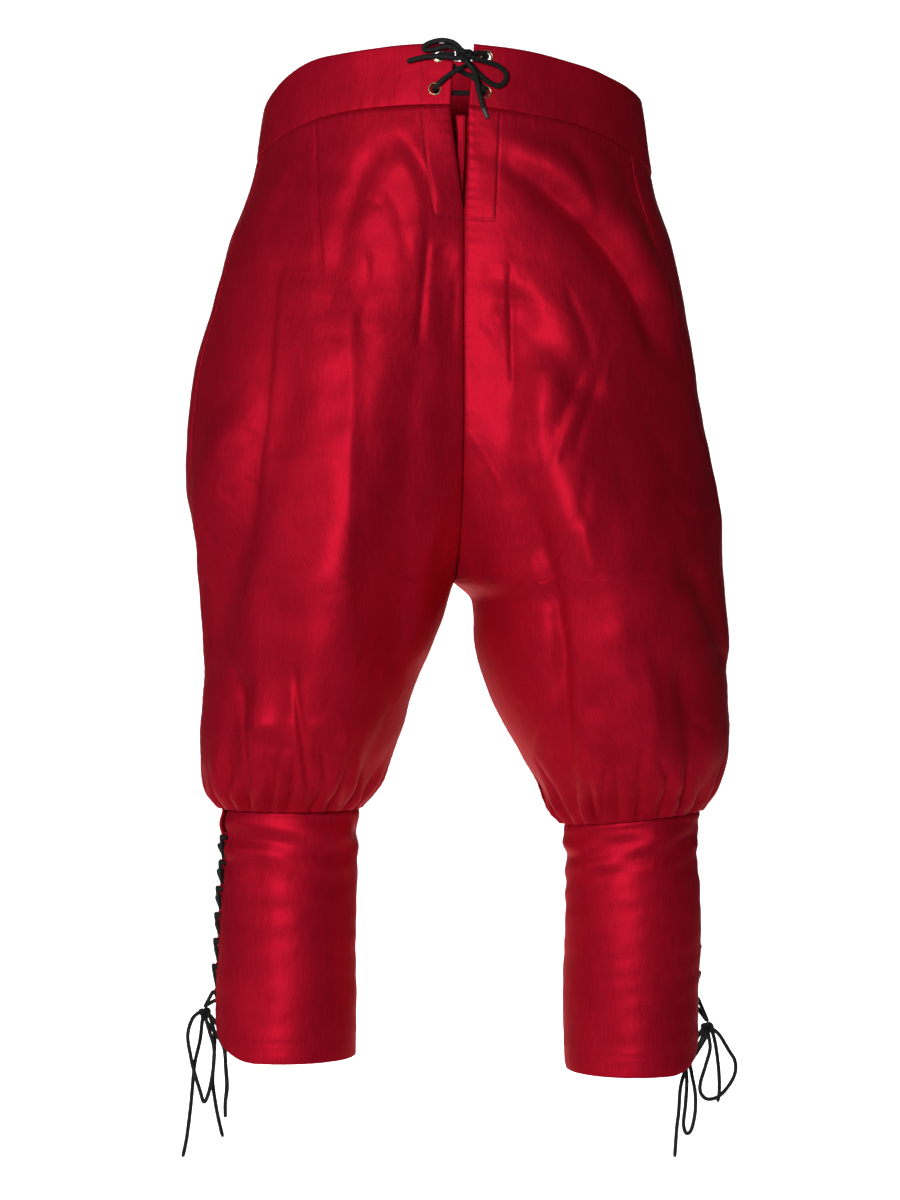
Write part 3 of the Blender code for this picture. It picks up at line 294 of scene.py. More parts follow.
# Smaller folds at the sides and the back of each leg, written as the large ones are.
SIDE_FOLDS = {
    "right": table(
        "high_angle high_z low_angle low_z bow width height",
        (-8, -0.060, 4, -0.300, 4, 0.012, -0.0026),
        (22, -0.120, 10, -0.380, -4, 0.014, 0.0024),
        (50, -0.200, 34, -0.480, 5, 0.013, -0.0030),
        (84, -0.160, 92, -0.300, 0, 0.011, -0.0024),
        (118, -0.260, 96, -0.400, 6, 0.010, -0.0028),
        (126, -0.300, 108, -0.440, 6, 0.009, 0.0022),
        (134, -0.330, 120, -0.500, 4, 0.010, -0.0030),
        (62, -0.400, 74, -0.560, -3, 0.010, -0.0030),
        (16, -0.420, 22, -0.565, 2, 0.010, -0.0028),
        (-2, -0.380, 0, -0.560, 3, 0.010, -0.0026),
    ),
    "left": table(
        "high_angle high_z low_angle low_z bow width height",
        (2, -0.050, 14, -0.280, 4, 0.012, -0.0026),
        (30, -0.130, 20, -0.360, -4, 0.014, 0.0024),
        (56, -0.180, 40, -0.460, 5, 0.013, -0.0030),
        (88, -0.150, 98, -0.290, 0, 0.011, -0.0024),
        (120, -0.250, 100, -0.410, 6, 0.010, -0.0028),
        (128, -0.310, 112, -0.450, 6, 0.009, 0.0022),
        (136, -0.330, 124, -0.490, 4, 0.010, -0.0030),
        (66, -0.410, 80, -0.570, -3, 0.010, -0.0030),
        (24, -0.400, 30, -0.575, 2, 0.010, -0.0028),
        (4, -0.370, 8, -0.570, 3, 0.010, -0.0026),
    ),
}

# Creases of the front, on the squared paper: height in millimetres (a ridge where positive), width to
# the left and to the right in squares, then the line's own points from its top.
CREASES = (
    # wearer's right leg
    (-2.4, 1.8, 1.8, (315, 112), (316, 170), (318, 225), (321, 262), (326, 296)),
    (1.2, 12, 3, (308, 130), (310, 180), (312, 230), (314, 280)),
    (-0.8, 5, 4, (326, 294), (331, 315), (341, 346)),
    (2.2, 9, 8, (300, 150), (280, 180), (262, 205), (246, 234)),
    (-1.8, 7, 8, (290, 190), (276, 215), (261, 247)),
    (-3.6, 13, 5, (288, 232), (276, 290), (271, 345), (266, 385), (261, 425), (255, 458), (251, 500),
     (246, 535), (241, 572), (230, 612), (212, 662)),
    (0.8, 7, 9, (282, 270), (279, 320), (275, 372), (271, 410), (264, 455), (258, 500), (252, 540)),
    (3.0, 20, 8, (348, 560), (350, 640), (354, 700), (357, 735)),
    (-1.8, 6, 10, (372, 240), (375, 264), (370, 296), (362, 322), (362, 352)),
    (-3.2, 4, 5, (428, 226), (426, 262), (423, 300), (418, 352)),
    (-1.8, 8, 4, (392, 126), (408, 146), (421, 166), (430, 190), (434, 216)),
    (1.8, 14, 7, (392, 150), (408, 175), (417, 205), (420, 245)),
    (-1.0, 5, 5, (369, 148), (359, 175), (352, 205)),
    (-1.2, 7, 5, (383, 184), (397, 210), (405, 238), (409, 264)),
    (-1.0, 5, 5, (366, 196), (374, 203), (384, 205)),
    (0.5, 3, 3, (250, 463), (300, 459), (350, 461)),
    (0.7, 3, 3, (345, 519), (372, 511), (402, 504), (430, 505), (456, 496)),
    (0.6, 3, 3, (354, 502), (370, 486), (395, 473), (430, 469), (458, 468)),
    (-2.4, 8, 8, (254, 428), (240, 444), (222, 462)),
    (-2.2, 8, 8, (250, 478), (238, 490), (222, 500)),
    (-2.6, 14, 9, (245, 526), (228, 556), (216, 596), (212, 630)),
    (-2.2, 22, 18, (290, 588), (276, 640), (268, 690), (262, 728)),
    (-6.0, 4, 4, (294, 650), (296, 690), (301, 728), (306, 766), (309, 800), (311, 845)),
    (-5.0, 4, 4, (232, 648), (236, 700), (242, 750), (247, 800), (250, 845)),
    (-4.0, 4, 4, (262, 745), (266, 775), (272, 808), (276, 845)),
    (-4.0, 4, 4, (322, 742), (326, 775), (329, 808), (330, 845)),
    (1.8, 8, 8, (348, 722), (341, 760), (326, 800)),
    (-5.0, 4, 4, (358, 755), (350, 780), (341, 812), (332, 845)),
    (3.0, 9, 9, (296, 722), (270, 726), (246, 728)),
    (-3.4, 8, 8, (296, 748), (270, 746), (246, 742)),
    (3.0, 9, 9, (346, 712), (324, 726), (304, 732)),
    (-3.4, 8, 8, (346, 738), (324, 750), (306, 754)),
    (1.6, 6, 7, (292, 772), (270, 766), (250, 760)),
    (-2.0, 8, 6, (418, 498), (416, 540), (413, 580), (408, 620), (403, 662), (396, 704)),
    (2.6, 7, 8, (454, 498), (438, 540), (426, 590), (418, 640), (412, 674)),
    (-3.0, 6, 12, (396, 700), (386, 732), (371, 768), (362, 806)),
    (-0.9, 4, 5, (376, 668), (371, 690), (366, 714)),
    (-1.2, 6, 9, (437, 249), (446, 256), (456, 262)),
    (-1.4, 4, 5, (456, 270), (455, 310), (453, 352)),
    # wearer's left leg
    (3.8, 11, 13, (568, 126), (590, 152), (608, 180), (621, 208), (633, 243), (645, 286)),
    (-3.2, 6, 8, (563, 130), (574, 154), (588, 182), (597, 208), (601, 228)),
    (-4.6, 5, 6, (578, 212), (592, 229), (606, 244), (621, 264), (635, 286), (646, 312)),
    (2.0, 6, 4, (576, 221), (598, 246), (616, 270), (632, 294), (646, 322)),
    (-2.2, 6, 9, (600, 138), (621, 166), (634, 196), (641, 222)),
    (-2.6, 6, 5, (566, 280), (573, 305), (583, 327), (590, 347), (592, 366)),
    (2.6, 6, 6, (594, 358), (581, 398), (566, 430), (557, 455), (550, 478)),
    (-2.2, 4, 6, (602, 372), (590, 405), (580, 430), (572, 462)),
    (-1.6, 5, 4, (578, 380), (566, 405), (556, 425)),
    (-3.0, 4, 5, (511, 254), (510, 285), (511, 315), (512, 345), (513, 375), (514, 400)),
    (-1.6, 8, 7, (524, 380), (529, 415), (534, 455), (538, 500)),
    (0.9, 3, 3, (604, 266), (611, 290), (603, 318), (597, 345)),
    (1.2, 3, 4, (626, 330), (614, 352), (607, 374), (609, 398)),
    (-4.0, 8, 6, (538, 500), (543, 540), (551, 580), (559, 622), (561, 660), (554, 700)),
    (-3.6, 6, 5, (558, 610), (563, 655), (565, 705), (567, 755), (571, 806), (576, 860)),
    (2.8, 5, 6, (556, 694), (546, 722), (537, 748), (533, 772)),
    (1.6, 6, 4, (536, 522), (529, 560), (525, 606)),
    (-2.2, 6, 8, (588, 468), (583, 498), (585, 524)),
    (2.6, 6, 7, (582, 520), (586, 550), (593, 578)),
    (-2.4, 14, 16, (596, 486), (606, 540), (622, 592), (641, 642), (662, 694)),
    (3.0, 18, 12, (636, 476), (652, 526), (666, 570), (676, 612)),
    (3.0, 9, 8, (636, 630), (647, 676), (655, 722), (650, 760), (643, 790)),
    (-5.5, 4, 4, (646, 735), (641, 775), (642, 800), (648, 826), (654, 860)),
    (-4.0, 4, 4, (606, 755), (604, 790), (603, 826), (602, 860)),
    (-2.8, 9, 8, (652, 426), (674, 464), (694, 502)),
    (-2.2, 6, 6, (676, 506), (690, 516), (704, 520)),
    (-4.6, 4, 4, (656, 752), (672, 784), (688, 814), (704, 848)),
    (-1.4, 4, 5, (692, 720), (704, 726), (714, 736)),
    (-3.0, 7, 7, (632, 764), (604, 768), (574, 760)),
    (2.0, 8, 8, (634, 744), (606, 748), (576, 742)),
    (0.6, 3, 3, (462, 420), (480, 452), (502, 497)),
    (-1.4, 7, 7, (478, 246), (481, 280), (483, 332)),
    (-1.2, 8, 8, (497, 316), (489, 323), (482, 330)),
    (0.5, 3, 3, (530, 372), (556, 370), (584, 372)),
    (0.6, 3, 3, (472, 546), (500, 548), (530, 541)),
    # where the thighs turn in to each other, under the centre seam
    (-3.4, 6, 6, (463, 430), (463, 470), (463, 510), (463, 560)),
)

# Broad swells and hollows of the front, laid out in the same way.
BROAD = (
    (3.6, 44, 11, (346, 268), (349, 330), (350, 400), (348, 480), (346, 560), (342, 650)),
    (-6.5, 80, 32, (463, 236), (463, 300), (463, 380), (463, 460), (465, 540), (467, 620)),
    (-5.0, 34, 20, (428, 290), (414, 345), (407, 400), (405, 460), (405, 520), (402, 590), (394, 660),
     (384, 710)),
    (-5.5, 11, 9, (549, 560), (556, 610), (560, 660), (563, 705), (565, 750), (566, 795), (568, 850)),
    (-4.0, 22, 22, (404, 560), (396, 620), (386, 690), (374, 750), (366, 850)),
    (-9.0, 34, 22, (512, 262), (509, 330), (510, 390), (514, 440), (524, 500), (540, 570), (548, 620)),
    (3.6, 26, 26, (560, 270), (560, 330), (566, 390), (573, 450), (574, 520), (580, 580)),
    (2.5, 20, 20, (300, 250), (310, 330), (314, 420), (312, 500)),
)

# Creases of the back, on squared paper as seen from behind, counted from the middle and the waist.
BACK_CREASES = (
    (-2.6, 10, 12, (-6, 120), (-40, 170), (-86, 214), (-130, 238)),
    (2.2, 12, 10, (-10, 150), (-50, 206), (-100, 250), (-150, 268)),
    (-2.8, 9, 11, (8, 126), (44, 180), (92, 222), (138, 246)),
    (2.2, 12, 10, (12, 158), (54, 214), (104, 256), (150, 276)),
    (-2.4, 7, 8, (-96, 40), (-104, 90), (-120, 150)),
    (-2.4, 7, 8, (92, 46), (106, 96), (118, 160)),
    (-2.8, 10, 9, (-34, 330), (-70, 352), (-116, 360), (-170, 350)),
    (2.4, 9, 10, (-30, 350), (-72, 378), (-120, 388), (-176, 376)),
    (-2.8, 10, 9, (36, 336), (72, 360), (120, 366), (176, 352)),
    (2.4, 9, 10, (32, 356), (74, 384), (126, 394), (180, 380)),
    (-2.6, 9, 11, (-150, 400), (-140, 470), (-146, 560)),
    (-2.6, 9, 11, (152, 410), (146, 480), (150, 575)),
    (2.2, 12, 10, (-190, 420), (-186, 500), (-176, 580)),
    (2.2, 12, 10, (196, 430), (194, 510), (184, 600)),
    (-3.0, 4, 4, (-104, 590), (-108, 640), (-112, 676)),
    (-3.0, 4, 4, (116, 600), (120, 650), (122, 688)),
    (0.6, 3, 3, (-200, 300), (-120, 296), (-20, 302)),
    (0.6, 3, 3, (20, 300), (110, 296), (200, 304)),
)

# The square of stitching that holds the facing round the slit, and its lines on the waistband.
FACING_STITCH = (
    (421.7, 110), (426, 150), (430.5, 190), (435, 214),
    (462.5, 218), (495.5, 219.4), (497.8, 170), (500, 108),
)
BAND_STITCH = (((420.6, 45), (421.4, 106)), ((498.6, 45), (500.0, 107)))

# Unevenness of each cloth: the draw's seed, the shortest and longest wave, and the height.
LEG_RIPPLE = (11, 0.016, 0.060, 0.00016)
BAND_RIPPLE = {"right": (8, 0.020, 0.070, 0.00018), "left": (5, 0.020, 0.070, 0.00018)}
CUFF_WRINKLE = {"right": (23, 0.012, 0.030, 0.00050), "left": (21, 0.012, 0.030, 0.00050)}
CUFF_RIPPLE = {"right": (27, 0.030, 0.090, 0.00028), "left": (25, 0.030, 0.090, 0.00028)}

# Pucker beside a seam: spacing, reach in from the seam, and how far and how fast its phase drifts.
LEG_PUCKER = (0.0085, 0.006, 1.5, 90)
BAND_PUCKER = (0.011, 0.008, 2, 60)

# The cloths' grids: stops across or down each, and the count of steps from stop to stop. They are
# shares of the cloth, and metres on the underlap. A row or two close to an edge keeps it crisp.
LEG_ACROSS = {
    "front": ((0.0, 0.006, 0.994, 1.0), (2, 212, 2)),
    "back": ((0.0, 0.006, 0.994, 1.0), (2, 188, 2)),
}
LEG_DOWN = {
    "front": ((0.0, 0.01, 0.30, 1.0, 1.70, 1.995, 2.0), (2, 96, 124, 64, 52, 2)),
    "back": ((0.0, 0.01, 1.0, 1.70, 1.995, 2.0), (2, 150, 64, 52, 2)),
}
BAND_FACET_STEPS = 34
BAND_ROUND_STEPS = 230
BAND_DOWN = ((0.0, 0.02, 0.98, 1.0), (2, 42, 2))
CUFF_ACROSS = ((0.0, 0.004, 0.996, 1.0), (2, 236, 2))
CUFF_DOWN = ((0.0, 0.006, 0.994, 1.0), (2, 118, 2))
UNDERLAP_ACROSS = ((-0.031, -0.012, 0.005, 0.028), (20, 70, 24))
UNDERLAP_DOWN = (-0.0045, -0.0890, 90)

CREASE_STEP = 3.0            # squares between the points of a drawn crease
CREASE_FADE = 0.22           # share of its length over which it fades at either end
CREASE_TOP = 0.008           # creases fade within this of a leg panel's top
CREASE_CUFF = 0.006          # and within this of its bottom,
CREASE_PAST = 0.004          # counted from this far below the bottom
FRONT_TURN = (0.10, 0.45)    # how far a face may look away from the front, and the change to full height
BACK_TURN = (-0.05, 0.40)    # the same for the creases drawn on the back
BAND_SWELL = 0.00035         # swell of the waistband between its edges
BAND_FLAT = 0.030            # its ripples begin this far from the slit
BAND_FLAT_END = 0.020        # and are full this much further on
BAND_TURN = 0.012            # within this of the centre, out of the waistband turns straight forward
WRINKLE_DOWN = 0.022         # the cuffs' wrinkles are highest this far below the top,
WRINKLE_WIDE = 0.026         # over this width
WRINKLE_TOP = 1.3            # share of their height there
WRINKLE_REST = 0.18          # and elsewhere
CUFF_CALM = 0.008            # they fade within this of the top and the hem
HEM_SINK = 0.00035           # depth of the hollow along the hem's stitching
SIDE_SINK = 0.0005           # and along the opening's
UNDERLAP_SAG = 0.0030        # how far the underlap's middle sags back near its top
BRAID_PITCH = 0.9            # a braid's repeat, in the cord's diameters
TIP_END = 0.0012             # a sealed tip begins over this length,
TIP_THIN = 0.12              # is thinner by this share
TIP_SMOOTH = 0.8             # and its braid is lower by this one


def along(profile, name, z):
    """A named column at height z, on a smooth cubic curve through the table's rows."""
    order = np.argsort(profile["z"])
    heights = profile["z"][order]
    values = profile[name][order]
    slopes = np.gradient(values, heights)
    z = np.clip(z, heights[0], heights[-1])
    low = np.clip(np.searchsorted(heights, z) - 1, 0, len(heights) - 2)
    step = heights[low + 1] - heights[low]
    t = (z - heights[low]) / step
    rise = values[low + 1] - values[low]
    bend = slopes[low] * step * (1 - t) ** 2 * t - slopes[low + 1] * step * t ** 2 * (1 - t)
    return values[low] + rise * t * t * (3 - 2 * t) + bend


def smooth_step(value):
    """0 below 0, 1 above 1 and an even S between."""
    value = np.clip(value, 0.0, 1.0)
    return value * value * (3 - 2 * value)


def band_edge(name, angle):
    """Height of the waistband's top or bottom edge at an angle round the waist, in degrees."""
    angle = np.mod(angle, 360.0)
    ring = {"z": BAND["angle"], name: BAND[name]}
    return along(ring, name, angle)


def section(side, z):
    """Centre, half width, front depth, back depth and middle of one leg's section."""
    outer = along(FORM, "outer_" + side, z)
    inner = SEAM / 2 - along(FORM, "past_" + side, z) * outer
    front = along(FORM, "front", z)
    back = along(FORM, "back", z)
    middle = along(FORM, "middle", z)
    return (outer + inner) / 2, (outer - inner) / 2, front, back, middle


def slit_half(side, z):
    """Distance of a front panel's centre edge from the centre plane."""
    open_part = along(SLIT, side, np.maximum(z, SLIT["z"].min()))
    return np.where(z > SLIT["z"].min(), np.maximum(open_part, SEAM / 2), SEAM / 2)


def inner_angle(side, panel, z):
    """Angle of a panel's centre seam, or of its inseam below the crotch."""
    centre, half, front, back, _ = section(side, z)
    edge = slit_half(side, z) if panel == "front" else SEAM / 2
    reach = np.clip((centre - edge) / half, -1.0, 1.0)
    depth = front if panel == "front" else back
    most = math.pi - SEAM / 2 / depth
    angle = np.minimum(np.arccos(-reach), most)
    return -angle if panel == "front" else angle


def side_angle(side, panel, z):
    """Angle of the side seam, moved by half a seam gap into the panel."""
    seam = -np.radians(along(SIDE_SEAM, side, z))
    gap = SEAM / 2 / LEG_RADIUS
    return seam - gap if panel == "front" else seam + gap


def fold_height(folds, side, angle, z, run):
    """Height of a table of folds at a place: a bell across each fold, rising over a share of its run
    at either end."""
    total = np.zeros_like(z)
    degrees = np.degrees(angle)
    _, half, front, _, _ = section(side, z)
    radius = (half + front) / 2
    for k in range(len(folds["width"])):
        t = (folds["high_z"][k] - z) / (folds["high_z"][k] - folds["low_z"][k])
        inside = np.clip(t, 0.0, 1.0)
        middle = folds["high_angle"][k] + (folds["low_angle"][k] - folds["high_angle"][k]) * inside
        middle = middle + folds["bow"][k] * 4 * inside * (1 - inside)
        away = np.radians(degrees - middle) * radius / folds["width"][k]
        fade = smooth_step(t / run) * smooth_step((1 - t) / run)
        total += folds["height"][k] * np.exp(-away * away) * fade
    return total


def gather_height(side, panel, share, drop):
    """Height of the gathers at a share of the panel's width and a drop above the cuff: round ridges
    between sharp hollows, |cos| of the count, uneven in height and reach."""
    count = GATHERS * share
    phase = 1.3 * SIGN[side] + (0.9 if panel == "front" else 2.1)
    uneven = 1 + 0.30 * np.sin(1.7 * count + phase) * np.sin(math.pi * share)
    reach = GATHER_REACH * (1 + 0.35 * np.sin(2.3 * count - phase))
    climb = np.clip(drop / reach, 0.0, 1.0)
    swell = GATHER_SEWN + (1 - GATHER_SEWN) * smooth_step(climb / 0.25)
    fade = (1 - smooth_step(climb)) * swell
    shifted = count + 0.10 * np.sin(3.1 * count + phase) * np.sin(math.pi * share)
    sharp = 2 * np.abs(np.cos(math.pi * shifted)) ** GATHER_ROUND - 1
    return GATHER_HEIGHT * uneven * fade * sharp


def cuff_top(side, angle):
    """Height of a cuff's top edge."""
    return CUFF_TOP[side] + CUFF_TOP_TILT[side] * np.cos(angle)


def waist_angle(x, y, z):
    """Angle round the waist in degrees of a point of its surface, from the centre front."""
    depth = np.where(y < 0, along(FORM, "front", z), along(FORM, "back", z))
    return np.degrees(np.arctan2(x / along(FORM, "outer_left", z), -y / depth))


def waist_point(angle, z, out):
    """A point at a distance out from the waist's surface; angle in radians from the centre front."""
    half = along(FORM, "outer_left", z)
    depth = np.where(np.cos(angle) > 0, along(FORM, "front", z), along(FORM, "back", z))
    direction = np.stack([np.sin(angle) / half, -np.cos(angle) / depth], axis=-1)
    direction /= np.linalg.norm(direction, axis=-1, keepdims=True)
    x = half * np.sin(angle) + out * direction[..., 0]
    y = -depth * np.cos(angle) + out * direction[..., 1]
    return np.stack([x, y, z + 0 * x], axis=-1)


def facet_frame(side):
    """Origin, right, up and outward directions of the flat front facet that holds the eyelets."""
    angle_far = SIGN[side] * math.asin(FACET / WAIST_HALF)
    top = float(band_edge("top", 0.0))
    bottom = float(band_edge("bottom", 0.0))
    slit = float(along(SLIT, side, np.array((top + bottom) / 2)))
    angle_near = SIGN[side] * math.asin(slit / WAIST_HALF)
    near_top, near_low, far_top, far_low = (
        waist_point(np.array(a), np.array(z), BAND_PROUD)
        for a in (angle_near, angle_far) for z in (top, bottom)
    )
    near = (near_top + near_low) / 2
    far = (far_top + far_low) / 2
    right = (far - near) * SIGN[side]
    right[2] = 0.0
    right /= np.linalg.norm(right)
    up = near_top - near_low + far_top - far_low
    up -= right * up.dot(right)
    up /= np.linalg.norm(up)
    return near, right, up, np.cross(right, up)


def eyelet_frame(k):
    """Centre on the band's outer face, right, up and outward directions of an eyelet."""
    side = "left" if EYELETS["sign"][k] > 0 else "right"
    near, right, up, out = facet_frame(side)
    x = EYELETS["sign"][k] * EYELETS["x"][k]
    z = EYELETS["z"][k]
    centre = near + right * (x - near[0]) / right[0]
    centre = centre + up * (z - centre[2]) / up[2]
    return centre, right, up, out


def cuff_section(side, z):
    """Centre, half width, front depth, back depth and middle of a cuff's outer face."""
    outer = along(CUFF_FORM, "outer_" + side, z)
    inner = along(CUFF_FORM, "inner_" + side, z)
    return ((outer + inner) / 2, (outer - inner) / 2, along(CUFF_FORM, "front", z),
            along(CUFF_FORM, "back", z), along(CUFF_FORM, "middle", z))


def cuff_point(side, angle, z, out=0.0):
    """A point at a distance out from a cuff's outer face."""
    centre, half, front, back, middle = cuff_section(side, z)
    depth = np.where(np.sin(angle) < 0, front, back)
    away = np.stack([np.cos(angle) / half, np.sin(angle) / depth], axis=-1)
    away /= np.linalg.norm(away, axis=-1, keepdims=True)
    x = centre + half * np.cos(angle) + out * away[..., 0]
    y = middle + depth * np.sin(angle) + out * away[..., 1]
    return np.stack([SIGN[side] * x, y, z + 0 * x], axis=-1)


def opening_angle(side, edge, drop):
    """Angle of an edge of the cuff's opening, a share of the way down the cuff."""
    top, hem = OPENING[side][edge]
    return np.radians(top + (hem - top) * drop)


def hem_rise(distance):
    """How far the hem is cut up, at a distance round from the opening's edge."""
    return HEM_CORNER_RISE * np.clip(1 - distance / HEM_CORNER_RUN, 0.0, 1.0) ** 1.8


def edge_place(side, edge, height, out=0.0):
    """A point on an edge of the cuff's opening at a height, a distance out from the outer face."""
    low = CUFF_HEM[side] + HEM_CORNER_RISE
    angle = opening_angle(side, edge, 0.0)
    for _ in range(4):
        high = float(cuff_top(side, angle))
        angle = opening_angle(side, edge, (high - height) / (high - low))
    return cuff_point(side, np.array(angle), np.array(height), out)


def loop_place(side, edge, k):
    """Base on the cuff's edge, reach into the opening, down and outward directions of one loop."""
    z = CUFF_TOP[side] - LOOP_FIRST - LOOP_PITCH * k - (LOOP_STAGGER if edge == "back" else 0.0)
    outer_face = edge_place(side, edge, z)
    base = edge_place(side, edge, z, -DOUBLE / 2)
    down = edge_place(side, edge, z - 0.001) - edge_place(side, edge, z + 0.001)
    down /= np.linalg.norm(down)
    out = outer_face - base
    out /= np.linalg.norm(out)
    reach = np.cross(out, down)
    reach /= np.linalg.norm(reach)
    other = "back" if edge == "front" else "front"
    towards = cuff_point(side, np.array(opening_angle(side, other, 0.5)), np.array(z)) - outer_face
    reach *= np.sign(reach.dot(towards))
    above = np.cross(down, reach)
    return base, reach, down, above * np.sign(above.dot(out))


def loop_lift(k):
    """How steeply a loop stands out from the cuff, in radians."""
    return math.radians(LOOP_LIFT[0] + (LOOP_LIFT[1] - LOOP_LIFT[0]) * k / (LOOPS - 1))


def loop_axes(side, edge, k):
    """Base, lifted reach, down and lifted outward directions of a loop."""
    base, reach, down, out = loop_place(side, edge, k)
    lift = loop_lift(k)
    tilted = reach * math.cos(lift) + out * math.sin(lift)
    above = out * math.cos(lift) - reach * math.sin(lift)
    return base, reach, tilted, down, above


def smooth_route(points, spacing):
    """Points at an even spacing on a smooth curve through the given ones."""
    points = np.array(points, dtype=float)
    ends = np.concatenate([[2 * points[0] - points[1]], points, [2 * points[-1] - points[-2]]])
    fine = []
    for k in range(1, len(ends) - 2):
        p0, p1, p2, p3 = ends[k - 1:k + 3]
        t = np.linspace(0.0, 1.0, 24, endpoint=False)[:, None]
        fine.append(0.5 * (2 * p1 + (p2 - p0) * t + (2 * p0 - 5 * p1 + 4 * p2 - p3) * t ** 2
                           + (3 * p1 - p0 - 3 * p2 + p3) * t ** 3))
    fine = np.concatenate(fine + [points[-1:]])
    length = np.concatenate([[0.0], np.cumsum(np.linalg.norm(np.diff(fine, axis=0), axis=1))])
    even = np.linspace(0.0, length[-1], max(4, int(round(length[-1] / spacing)) + 1))
    return np.stack([np.interp(even, length, fine[:, k]) for k in range(3)], axis=-1)


def band_place(x, z, out):
    """A point in front of the waistband, at a distance out from its outer face."""
    side = "left" if x > 0 else "right"
    near, right, up, away = facet_frame(side)
    centre = near + right * (x - near[0]) / right[0]
    centre = centre + up * (z - centre[2]) / up[2]
    blend = min(abs(x) / BAND_TURN, 1.0)
    away = away * blend + np.array([0.0, -1.0, 0.0]) * (1 - blend)
    return centre + out * away


# The waist lace, each point as x, z and distance out from the waistband, in millimetres. It runs from
# the knot into the left upper eyelet, crosses inside to the front of the right lower one, runs behind
# to the left lower one, and comes back the same way on the other side.
WAIST_LACE = (
    (7.4, 42.6, 6.4), (11.0, 43.2, 5.4), (15.2, 42.8, 4.3), (17.6, 42.0, 3.4), (18.6, 41.5, 1.0),
    (18.7, 41.4, -3.2), (16.6, 40.6, -6.2), (12.4, 38.8, -7.2), (8.2, 36.8, -6.9), (4.8, 34.8, -5.2),
    (1.4, 33.4, -1.6), (-2.0, 31.4, 2.0), (-6.5, 28.8, 3.3), (-11.6, 25.4, 3.6), (-17.6, 20.6, 4.2),
    (-21.6, 16.8, 4.0), (-23.4, 14.8, 1.4), (-23.6, 14.5, -3.2), (-21.6, 13.8, -6.2), (-17.0, 13.0, -7.2),
    (-8.0, 12.6, -6.8), (2.0, 12.4, -6.8), (10.4, 12.4, -7.2), (15.0, 12.4, -6.3), (17.1, 12.4, -3.2),
    (17.0, 12.7, 1.4), (15.2, 14.8, 4.0), (12.0, 18.2, 4.2), (8.8, 21.6, 3.4), (5.6, 24.6, 2.7),
    (2.8, 26.2, 0.2), (-0.2, 28.6, -4.0), (-3.6, 31.0, -6.3), (-8.0, 34.2, -7.2), (-14.0, 38.4, -7.3),
    (-18.6, 40.9, -6.2), (-20.7, 41.4, -3.2), (-20.6, 41.6, 1.2), (-18.6, 41.9, 3.6), (-14.6, 42.2, 4.4),
    (-11.0, 42.2, 5.2), (-7.6, 41.6, 6.2),
)
WAIST_KNOT = (0.0, 41.0, 7.0)
WAIST_KNOT_SIZE = (0.0066, 0.0042, 0.0056)
WAIST_LOOP_1 = (
    (-4.0, 46.6, 9.0), (-9.0, 50.6, 9.6), (-17.0, 52.4, 9.2), (-25.0, 51.4, 8.0), (-31.0, 48.8, 6.6),
    (-31.6, 45.6, 6.2), (-26.0, 45.0, 7.4), (-19.0, 46.4, 8.6), (-13.0, 47.4, 10.4), (-7.0, 45.2, 10.8),
)
WAIST_LOOP_2 = (
    (6.6, 38.4, 8.4), (12.0, 36.8, 8.4), (20.0, 35.0, 7.6), (28.0, 32.2, 6.2), (33.2, 27.6, 5.2),
    (33.2, 21.6, 4.6), (28.0, 17.0, 4.8), (21.0, 18.6, 6.0), (14.4, 22.6, 7.4), (8.6, 28.2, 8.2),
    (3.8, 34.4, 7.8),
)
WAIST_TAIL_1 = (
    (-6.0, 37.8, 8.6), (-12.0, 38.8, 8.8), (-20.0, 39.6, 7.8), (-30.0, 39.8, 5.6), (-38.0, 38.6, 3.8),
    (-46.0, 36.6, 2.8),
)
WAIST_TAIL_2 = (
    (0.6, 35.6, 11.4), (3.6, 31.0, 13.2), (6.8, 26.4, 12.8), (9.2, 19.6, 9.6), (11.4, 11.0, 6.4),
    (14.2, 1.4, 4.4), (18.6, -9.8, 3.6),
)

